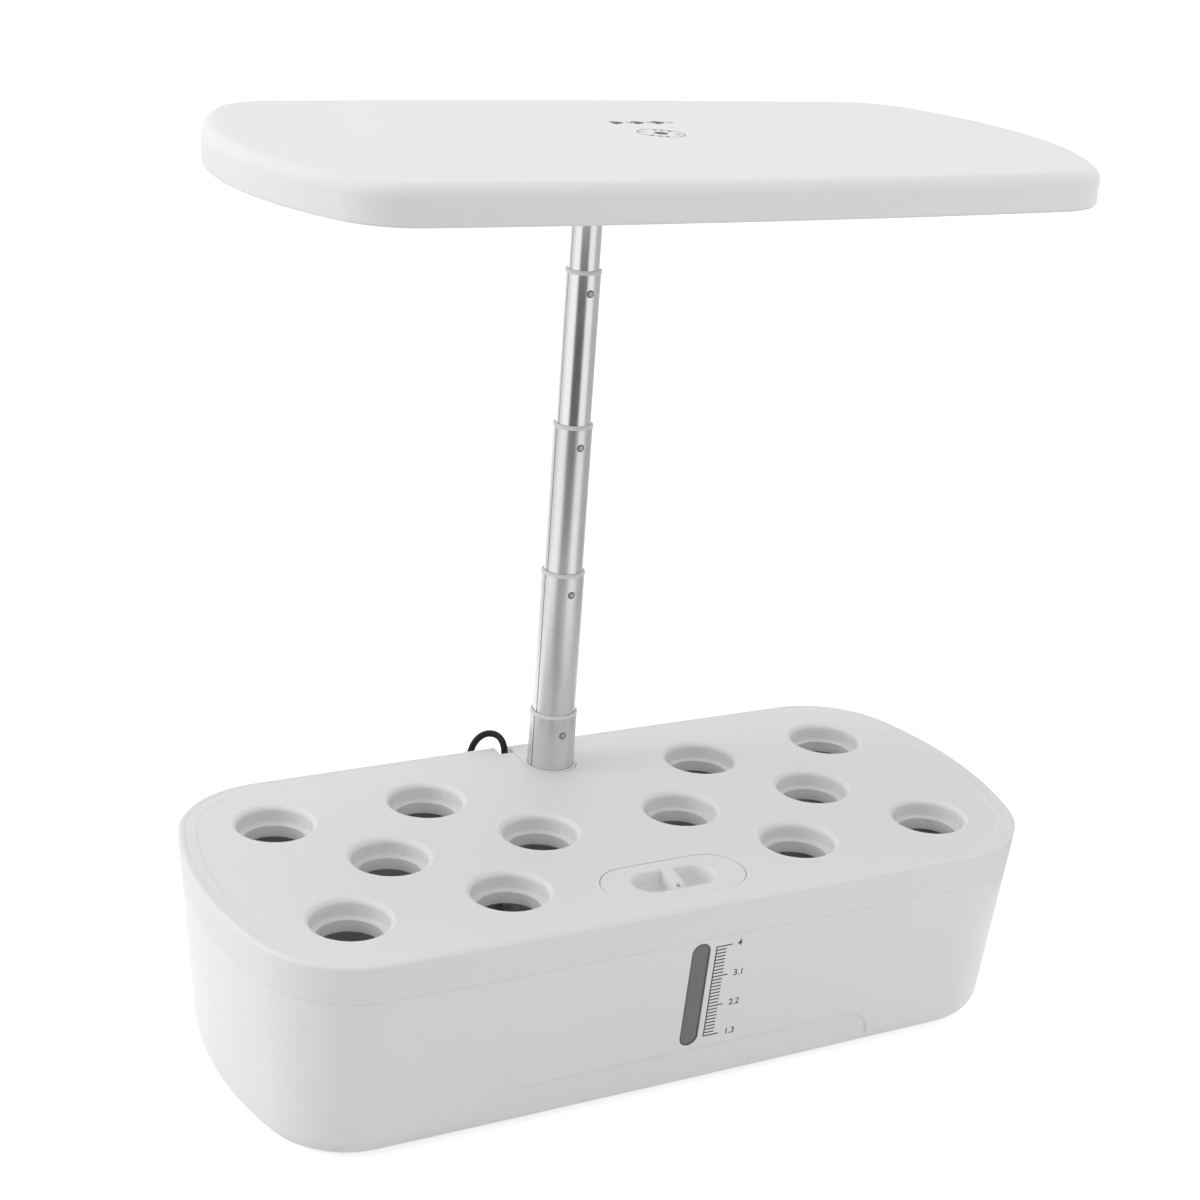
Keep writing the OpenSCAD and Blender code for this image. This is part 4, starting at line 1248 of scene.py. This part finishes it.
@dataclass
class Deck(SubAssembly):
    """Deck with a rim band, twelve countersunk wells, a port, a mast slot and a cord notch."""

    skirt: float = 0.0016
    seam_gap: float = 0.00004
    edge: float = 0.00011
    edge_round: float = 0.0016
    edge_from: float = 0.0024
    bead: float = 0.003
    bead_drop: float = 0.00022
    bead_round: float = 0.0001
    bead_sink: float = 0.00004
    rim: float = 0.0076
    rim_run: float = 0.0018
    panel: float = 0.0024
    panel_step: float = 0.0003
    rib_height: float = 0.005
    rib_width: float = 0.0014
    rib_start: float = 0.0263
    rib_pitches: float = 2.25
    pitch: float = 0.0729
    row: float = 0.0467
    mouth: float = 0.0197
    well: float = 0.017
    well_foot: float = 0.0002
    ledge: float = 0.0085
    ledge_edge: float = 0.00018
    neck: float = 0.0145
    neck_height: float = 0.0056
    wall: float = 0.0018
    port: Point2 = (0.0696, 0.0326)
    port_ledge: float = 0.0038
    port_top: float = 0.0006
    slot_half: float = 0.0128
    notch: tuple[float, ...] = (-0.0197, 0.081, -0.0127, REAR_EDGE + 0.01)

    def well_spots(self) -> Outline:
        """Places of the wells, in three staggered rows."""
        outer = [(k * self.pitch, row * self.row) for row in (-1, 1) for k in (-2, -1, 1, 2)]
        return outer + [(k * self.pitch, 0.0) for k in (-1.5, -0.5, 0.5, 1.5)]

    def profile(self) -> Outline:
        """Profile from the panel's underside, round the skirt and over the rim band.

        Returns:
            Points of (inset, height).
        """
        low, under, hair = SEAM + self.seam_gap, PANEL_TOP - self.panel, self.bead_round
        band = DECK_TOP - self.bead_drop
        drop, inner, steps = band - PANEL_TOP, self.rim + self.rim_run, 8
        falls = (drop * (1 - math.cos(math.pi * k / steps)) / 2 for k in range(steps + 1))
        slope = ((self.rim + self.rim_run * k / steps, band - z) for k, z in enumerate(falls))
        return [
            (inner, under),
            (inner, under - self.panel_step),
            (self.skirt + lean(under), under - self.panel_step),
            (self.skirt + lean(low), low),
            (lean(low) + self.edge, low),
            (lean(low) + self.edge / 3, low + self.edge / 4),
            (lean(low + self.edge), low + self.edge),
            *upper_edge(lean(DECK_TOP - self.edge_from), DECK_TOP, self.edge_round, 12),
            (self.bead - hair, DECK_TOP),
            (self.bead, DECK_TOP - self.bead_sink),
            (self.bead + 2 * hair, band + self.bead_sink),
            (self.bead + 3 * hair, band),
            *slope,
        ]

    def well_wall(self, spot: Point2) -> Solid:
        """The wall of a well under the panel.

        Args:
            spot: Middle of the well.

        Returns:
            The solid.
        """
        ledge = PANEL_TOP - self.ledge
        narrow, wide = self.neck + self.wall, self.well + self.wall
        profile = [
            (narrow, ledge - self.neck_height), (narrow, ledge - self.wall),
            (wide, ledge - self.wall), (wide, PANEL_TOP - INTO),
        ]
        return turned("well_wall", profile, spot)

    def well_tool(self, spot: Point2) -> Solid:
        """The solid that cuts a well: neck, ledge, wall and a soft mouth.

        Args:
            spot: Middle of the well.

        Returns:
            The solid.
        """
        ledge, soft, edge = PANEL_TOP - self.ledge, self.mouth - self.well, self.ledge_edge
        profile = [
            (self.neck, ledge - self.neck_height - PAST),
            (self.neck, ledge - edge),
            (self.neck + edge / 3, ledge - edge / 3),
            (self.neck + edge, ledge),
            (self.well - self.well_foot, ledge),
            (self.well, ledge + self.well_foot),
            *arc((self.mouth, PANEL_TOP - soft + SKIM), soft, 180, 90, 12),
            (self.mouth, PANEL_TOP + PAST),
        ]
        return turned("well", profile, spot)

    def port_tool(self) -> Solid:
        """The solid that cuts the fill port, with the ledge that carries its cap.

        Returns:
            The solid.
        """
        wide, narrow = round_port(self.port), round_port(self.port, -self.port_ledge)
        ledge = PANEL_TOP - self.panel
        levels = [
            (narrow, ledge - self.wall - PAST), (narrow, ledge), (wide, ledge),
            (wide, PANEL_TOP + PAST),
        ]
        return lofted("port", levels)

    def added(self, spots: Outline) -> Solid:
        """What stands under the panel: the wells' walls, the port's ledge and the ribs.

        Args:
            spots: Middles of the wells.

        Returns:
            One solid.
        """
        under = PANEL_TOP - self.panel
        parts = [self.well_wall(spot) for spot in spots]
        boss = round_port(self.port, self.wall)
        parts.append(prism("port_boss", boss, under - self.wall, PANEL_TOP - self.port_top))
        far, half = self.rib_pitches * self.pitch, self.rib_width / 2
        for left, right in ((-far, -self.rib_start), (self.rib_start, far)):
            for y in (-self.row / 2, self.row / 2):
                rib = bar(left, y - half, right, y + half)
                parts.append(prism("rib", rib, under - self.rib_height, under + INTO))
        return merged("added", *parts)

    def build(self) -> None:
        """Makes the deck."""
        shell = swept("deck_shell", BODY_PLAN, self.profile())
        spots = self.well_spots()
        carve(shell, self.added(spots), Cut.ADD)
        wells = (self.well_tool(spot) for spot in spots)
        carve(shell, merged("wells", *wells, self.port_tool()), Cut.TAKE)
        half, rear = self.slot_half, REAR_EDGE + PAST
        slot = [(half, rear), (-half, rear), *arc((0, MAST_Y), half, 180, 360, 64)]
        for outline in (slot, bar(*self.notch)):
            carve(shell, prism("gap", outline, SEAM - PAST, DECK_TOP + PAST), Cut.TAKE)
        soften(shell)
        self.wardrobe.fit(shell, "deck", Body.LID, "deck")


@dataclass
class FillCap(SubAssembly):
    """Cap of the fill port: a flush plug with a deep cup and a sloping finger bar."""

    top: float = 0.0979
    plate: Point2 = (0.069, 0.032)
    thickness: float = 0.0024
    edge: float = 0.0003
    edge_steps: Spots = ((0.0, 1.0), (0.3, 0.3), (1.0, 0.0))
    skirt: Point2 = (0.0612, 0.0242)
    skirt_low: float = 0.0926
    cup: Point2 = (0.0392, 0.0182)
    cup_low: float = 0.09
    cup_taper: float = 0.001
    cup_round: float = 0.0011
    cup_foot: Spots = (
        (0.0022, 0.0), (0.0012, 0.0004), (0.0006, 0.0012), (0.0003, 0.003)
    )
    wall: float = 0.0014
    bar_left: float = -0.0013
    bar_right: float = 0.0047
    bar_round: float = 0.0017
    bar_edge: float = 0.0003
    bar_steps: Spots = ((0.0, 1.0), (0.4, 0.3), (1.2, 0.0))
    bar_behind: float = 0.0008
    bar_foot: float = 0.0004
    bar_sunk: float = 0.0001
    bar_slope: Spots = (
        (0.0, 0.0), (0.003, 0.0), (0.0075, 0.0004), (0.0115, 0.0011),
        (0.014, 0.0019), (0.0158, 0.003), (0.0175, 0.0048), (0.0195, 0.0064),
    )
    hole: Point2 = (0.0004, -0.0642)
    hole_radius: float = 0.00095

    def shell(self) -> Solid:
        """The cap's plate, with the closed cup and the skirt under it.

        Returns:
            The solid.
        """
        low, edge = PANEL_TOP - self.thickness, self.edge
        rim = [(0, low), *((-edge * x, self.top - edge * z) for x, z in self.edge_steps)]
        made = lofted("fill_cap_shell", [(round_port(self.plate, grow), z) for grow, z in rim])
        wide, narrow = (round_port(self.cup, self.wall - cut) for cut in (0, self.cup_taper))
        levels = [(narrow, self.cup_low - self.wall), (wide, self.cup_low), (wide, low + INTO)]
        outer, inner = (round_port(self.skirt, -cut) for cut in (0, self.wall))
        skirt = hoop("skirt", outer, inner, self.skirt_low, low + INTO)
        carve(made, merged("added", lofted("cup", levels), skirt), Cut.ADD)
        return made

    def hollow(self) -> Solid:
        """The solid that hollows the cup, with a rounded bottom and a soft mouth.

        Returns:
            The solid.
        """
        levels = [(round_port(self.cup, -inset), self.cup_low + z) for inset, z in self.cup_foot]
        mouth = arc((self.cup_round, self.top - self.cup_round + SKIM), self.cup_round, 180, 90, 8)
        levels += [(round_port(self.cup, grow), height) for grow, height in mouth]
        levels.append((round_port(self.cup, self.cup_round), self.top + INTO))
        return lofted("hollow", levels)

    def finger_bar(self) -> Solid:
        """The bar across the cup: flat behind, sloping down and rounded off in front.

        Returns:
            The solid.
        """
        back, low = PORT_Y + self.cup[1] / 2 + self.bar_behind, self.cup_low - self.bar_foot
        left, right, edge, r = self.bar_left, self.bar_right, self.bar_edge, self.bar_round
        rings = []
        for run, drop in self.bar_slope:
            top = self.top - self.bar_sunk - drop
            outline = [
                (left, low), *((left + edge * x, top - edge * z) for x, z in self.bar_steps),
                *arc((right - r, top - r), r, 90, 0, 8), (right, low),
            ]
            rings.append([(x, back - run, z) for x, z in outline])
        return skin("finger_bar", rings)

    def build(self) -> None:
        """Makes the cap."""
        cap = self.shell()
        carve(cap, self.hollow(), Cut.TAKE)
        carve(cap, self.finger_bar(), Cut.ADD)
        hole = posts((self.hole,), self.hole_radius, self.cup_low + INTO, self.top, 32)
        carve(cap, hole, Cut.TAKE)
        soften(cap)
        self.wardrobe.fit(cap, "deck", Body.CAP, "fill_cap")


# --- mast ---


@dataclass
class Mast(SubAssembly):
    """Tubes, collars and snap buttons of the mast, set where the frame has them."""

    carriers: tuple[Body, ...] = (
        Body.BASE, Body.STAGE_2, Body.STAGE_3, Body.STAGE_4, Body.LAMP
    )
    buttons: tuple[Body, ...] = (Body.BUTTON_1, Body.BUTTON_2, Body.BUTTON_3, Body.BUTTON_4)
    finishes: tuple[str, ...] = ("matt", "satin", "sheen", "bright", "bright")
    wall: float = 0.0008
    groove_side: float = 192.5
    groove_run: float = 0.00065
    groove_depth: float = 0.00055
    groove_taper: float = 0.1
    hole: float = 0.00175
    hole_reach: float = 0.02
    collar_low: float = 0.0015
    collar_step: float = 0.0028
    collar_high: float = 0.0033
    collar_edge: float = 0.0002
    collar_proud: float = 0.00012
    lip: float = 0.0006
    clearance: float = 0.00015
    dome: float = 0.00055
    seat: float = 0.0012
    shoulder: float = 0.0004
    hair: float = 0.0001

    def outline(self, radius: float, shrink: float = 0.0) -> Outline:
        """Outline of a tube, with its narrow groove on the left.

        Args:
            radius: Outer radius of the tube.
            shrink: How much smaller the outline is drawn.

        Returns:
            The outline's points.
        """
        middle, side, slant = (0, MAST_Y), self.groove_side, self.groove_taper
        behind = side - math.degrees(self.groove_run / radius)
        deep = radius - self.groove_depth - shrink
        return [
            *arc(middle, radius - shrink, side - 360, behind, 132),
            *arc(middle, deep, behind + slant, side - slant, 3),
        ]

    def across(self, k: int) -> Matrix:
        """Place on the mast's axis at the height of a button, with Z to the front."""
        low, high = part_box(f"snap_button_{k}")
        return Matrix.Translation((0, MAST_Y, (low[2] + high[2]) / 2)) @ TO_FRONT

    def tube(self, k: int) -> Solid:
        """A tube of the mast, with the holes for its own and the next button.

        Args:
            k: Number of the tube, from 1, the widest.

        Returns:
            The tube.
        """
        low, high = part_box(f"mast_tube_{k}")
        radius, top = high[0], high[2]
        if k <= len(self.buttons):
            top += self.collar_low + self.collar_edge
        outlines = self.outline(radius), self.outline(radius, self.wall)
        made = hoop(f"tube_{k}", *outlines, low[2], top)
        drills = [
            prism("drill", circle((0, 0), self.hole, 48), 0, self.hole_reach, self.across(near))
            for near in (k - 1, k) if 1 <= near <= len(self.buttons)
        ]
        carve(made, merged("drills", *drills), Cut.TAKE)
        soften(made)
        return made

    def collar(self, k: int) -> Solid:
        """The collar on the upper end of a tube.

        Args:
            k: Number of the tube, from 1.

        Returns:
            The ring.
        """
        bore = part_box(f"mast_tube_{k + 1}")[1][0] + self.clearance
        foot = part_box(f"mast_tube_{k}")[1][0] + self.collar_proud
        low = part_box(f"mast_collar_{k}")[0][2]
        base, step, top = low + self.collar_low, low + self.collar_step, low + self.collar_high
        edge, head = self.collar_edge, bore + self.lip
        profile = [
            (bore, base), (foot - edge, base), (foot, base + edge), (foot, step - edge),
            (foot - edge * 0.3, step - edge * 0.3), (foot - edge, step),
            (head + edge, step + edge / 2), (head, top - edge), (head - edge, top), (bore, top),
        ]
        levels = [(circle((0, MAST_Y), r, 144), z) for r, z in profile]
        made = lofted(f"collar_{k}", levels, capped=False)
        soften(made, angle=50)
        return made

    def button(self, k: int) -> tuple[Solid, Solid]:
        """The snap button of a tube and the seat round its dome, a thin near-black layer that is
        painted shade of the recess.

        Args:
            k: Number of the tube, from 1.

        Returns:
            The button and its seat of painted shade.
        """
        low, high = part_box(f"snap_button_{k}")
        radius, face, back = (high[0] - low[0]) / 2, MAST_Y - low[1] - self.dome, MAST_Y - high[1]
        foot, hair = face - self.shoulder, self.hair
        dome = [(self.seat * x, face + self.dome * y) for x, y in arc((0, 0), 1, 0, 81, 9)]
        shapes = {
            "button": [(radius, back), (radius, foot), (self.seat, foot), *dome],
            # The seat is a thin near-black layer on the shoulder: painted shade of the recess, not
            # a part of its own colour.
            "button_seat_shade": [
                (radius, foot - hair), (radius, foot + 2 * hair), (self.seat - hair, face - hair)
            ],
        }
        place = self.across(k)
        button, seat = (
            turned(f"{name}_{k}", profile, steps=48, place=place)
            for name, profile in shapes.items()
        )
        return button, seat

    def build(self) -> None:
        """Makes the tubes, the collars and the buttons."""
        for k, (carrier, finish) in enumerate(zip(self.carriers, self.finishes), 1):
            self.wardrobe.fit(self.tube(k), finish, carrier, f"mast_tube_{k}")
        for k, (carrier, rider) in enumerate(zip(self.carriers, self.buttons), 1):
            self.wardrobe.fit(self.collar(k), "collar", carrier, f"mast_collar_{k}")
            button, seat = self.button(k)
            self.wardrobe.fit(button, "button", rider, f"snap_button_{k}")
            self.wardrobe.fit(seat, "seat", rider)


# --- lamp ---


@dataclass
class LampCover(SubAssembly):
    """Cover of the lamp: a thin shell with a soft upper edge and screw bosses inside."""

    top: float = 0.41197
    low: float = 0.396
    wall: float = 0.0022
    edge: float = 0.0012
    edge_steps: Spots = ((1.0, 0.0), (0.4, 0.25), (0.1, 0.62), (0.0, 1.0))
    round: float = 0.0056
    tray_top: float = 0.3994
    tray_low: float = 0.3976
    boss_radius: float = 0.0034
    bore: float = 0.0016
    screw_spots: Spots = (
        (-0.156, -0.046), (0.156, -0.046), (-0.156, 0.046), (0.156, 0.046),
        (-0.07, -0.0756), (0.07, -0.0756), (-0.07, 0.0756), (0.07, 0.0756),
    )

    def profile(self) -> Outline:
        """Profile from the inner top, down the inside, round the lower edge and up outside."""
        inside = upper_edge(self.wall, self.top - self.wall, self.round - self.wall, 10)
        return [
            *reversed(inside),
            (self.wall, self.low),
            *((self.edge * x, self.low + self.edge * z) for x, z in self.edge_steps),
            *upper_edge(0, self.top, self.round, 20),
        ]

    def build(self) -> None:
        """Makes the cover."""
        shell = swept("lamp_shell", LAMP_PLAN, self.profile())
        high, spots = self.top - INTO, self.screw_spots
        carve(shell, posts(spots, self.boss_radius, self.tray_top, high, 32), Cut.ADD)
        carve(shell, posts(spots, self.bore, self.tray_low, high - self.wall, 24), Cut.TAKE)
        soften(shell)
        self.wardrobe.fit(shell, "lamp", Body.LAMP, "lamp_cover")


@dataclass
class LampMarks(SubAssembly):
    """Plain printed marks over the touch keys: three drops and a dimming field with a sun."""

    low: float = 0.41187
    top: float = 0.412
    drops: Spots = ((-0.0066, 0.032), (0.0034, 0.032), (0.0133, 0.032))
    drop_half: float = 0.0031
    drop_back: float = 0.0019
    drop_tip: float = 0.0054
    field: Point2 = (0.0206, 0.0176)
    field_middle: Point2 = (0.0012, 0.0064)
    field_turn: float = -28.0
    line: float = 0.0007
    sun: float = 0.003
    ray_turns: tuple[float, ...] = (61.0, 88.0, 111.0)
    ray_reach: Point2 = (0.0064, 0.0084)
    ray_half: float = 0.0006
    sign_x: float = 0.0073
    sign: float = 0.0034
    ring: float = 0.0014
    ring_spot: Point2 = (0.0055, -0.001)

    def layer(self, outline: Outline) -> Solid:
        """A thin layer of ink with that outline."""
        return prism("mark", outline, self.low, self.top)

    def outlined(self, outer: Outline, inner: Outline) -> Solid:
        """A thin layer of ink between two outlines."""
        return hoop("mark", outer, inner, self.low, self.top)

    def drop(self, x: float, y: float) -> Outline:
        """A flat drop, turned as the field is."""
        back = [
            (self.drop_half * px, self.drop_back * py) for px, py in arc((0, 0), 1, -20, 200, 28)
        ]
        return moved([(0, -self.drop_tip), *back], x, y, self.field_turn)

    def placed(self, outline: Outline, x: float = 0.0, turn: float = 0.0) -> Outline:
        """An outline set on the dimming field's own axes."""
        return moved(moved(outline, x, 0, turn), *self.field_middle, self.field_turn)

    def build(self) -> None:
        """Makes the dark and the pale marks."""
        near, far = self.ray_reach
        ray = bar(near, -self.ray_half, far, self.ray_half)
        dark = [self.layer(self.drop(*spot)) for spot in self.drops]
        dark.append(self.layer(self.placed(circle((0, 0), self.sun, 36))))
        turns = (turn + side for turn in self.ray_turns for side in (0, 180))
        dark += [self.layer(self.placed(ray, turn=turn)) for turn in turns]
        self.wardrobe.fit(merged("lamp_marks", *dark), "ink", Body.LAMP)

        half, line = self.sign / 2, self.line / 2
        length, width = self.field
        cuts = (0, 2 * self.line)
        cross = [
            (half, -line), (half, line), (line, line), (line, half), (-line, half), (-line, line),
            (-half, line), (-half, -line), (-line, -line), (-line, -half), (line, -half),
            (line, -line),
        ]
        pale = [
            self.outlined(*(self.placed(stadium(length - cut, width - cut, 40)) for cut in cuts)),
            self.layer(self.placed(bar(-half, -line, half, line), -self.sign_x)),
            self.layer(self.placed(cross, self.sign_x)),
        ]
        for x, y in self.drops:
            spot = (x + self.ring_spot[0], y + self.ring_spot[1])
            rings = (circle(spot, self.ring - cut, 24) for cut in (0, self.line))
            pale.append(self.outlined(*rings))
        self.wardrobe.fit(merged("lamp_marks_pale", *pale), "pale_ink", Body.LAMP)


# --- assembly ---


def main() -> None:
    """Builds the garden's looks in order."""
    logging.basicConfig(level=logging.INFO, format="%(name)s: %(message)s")
    Viewpoint().build()
    wardrobe = Wardrobe()
    for part in (PowerCord, Tank, LevelGauge, Deck, FillCap, Mast, LampCover, LampMarks):
        part(wardrobe).build()
    wardrobe.dress_nodes()
    Studio().build()


if __name__ == "__main__":
    main()
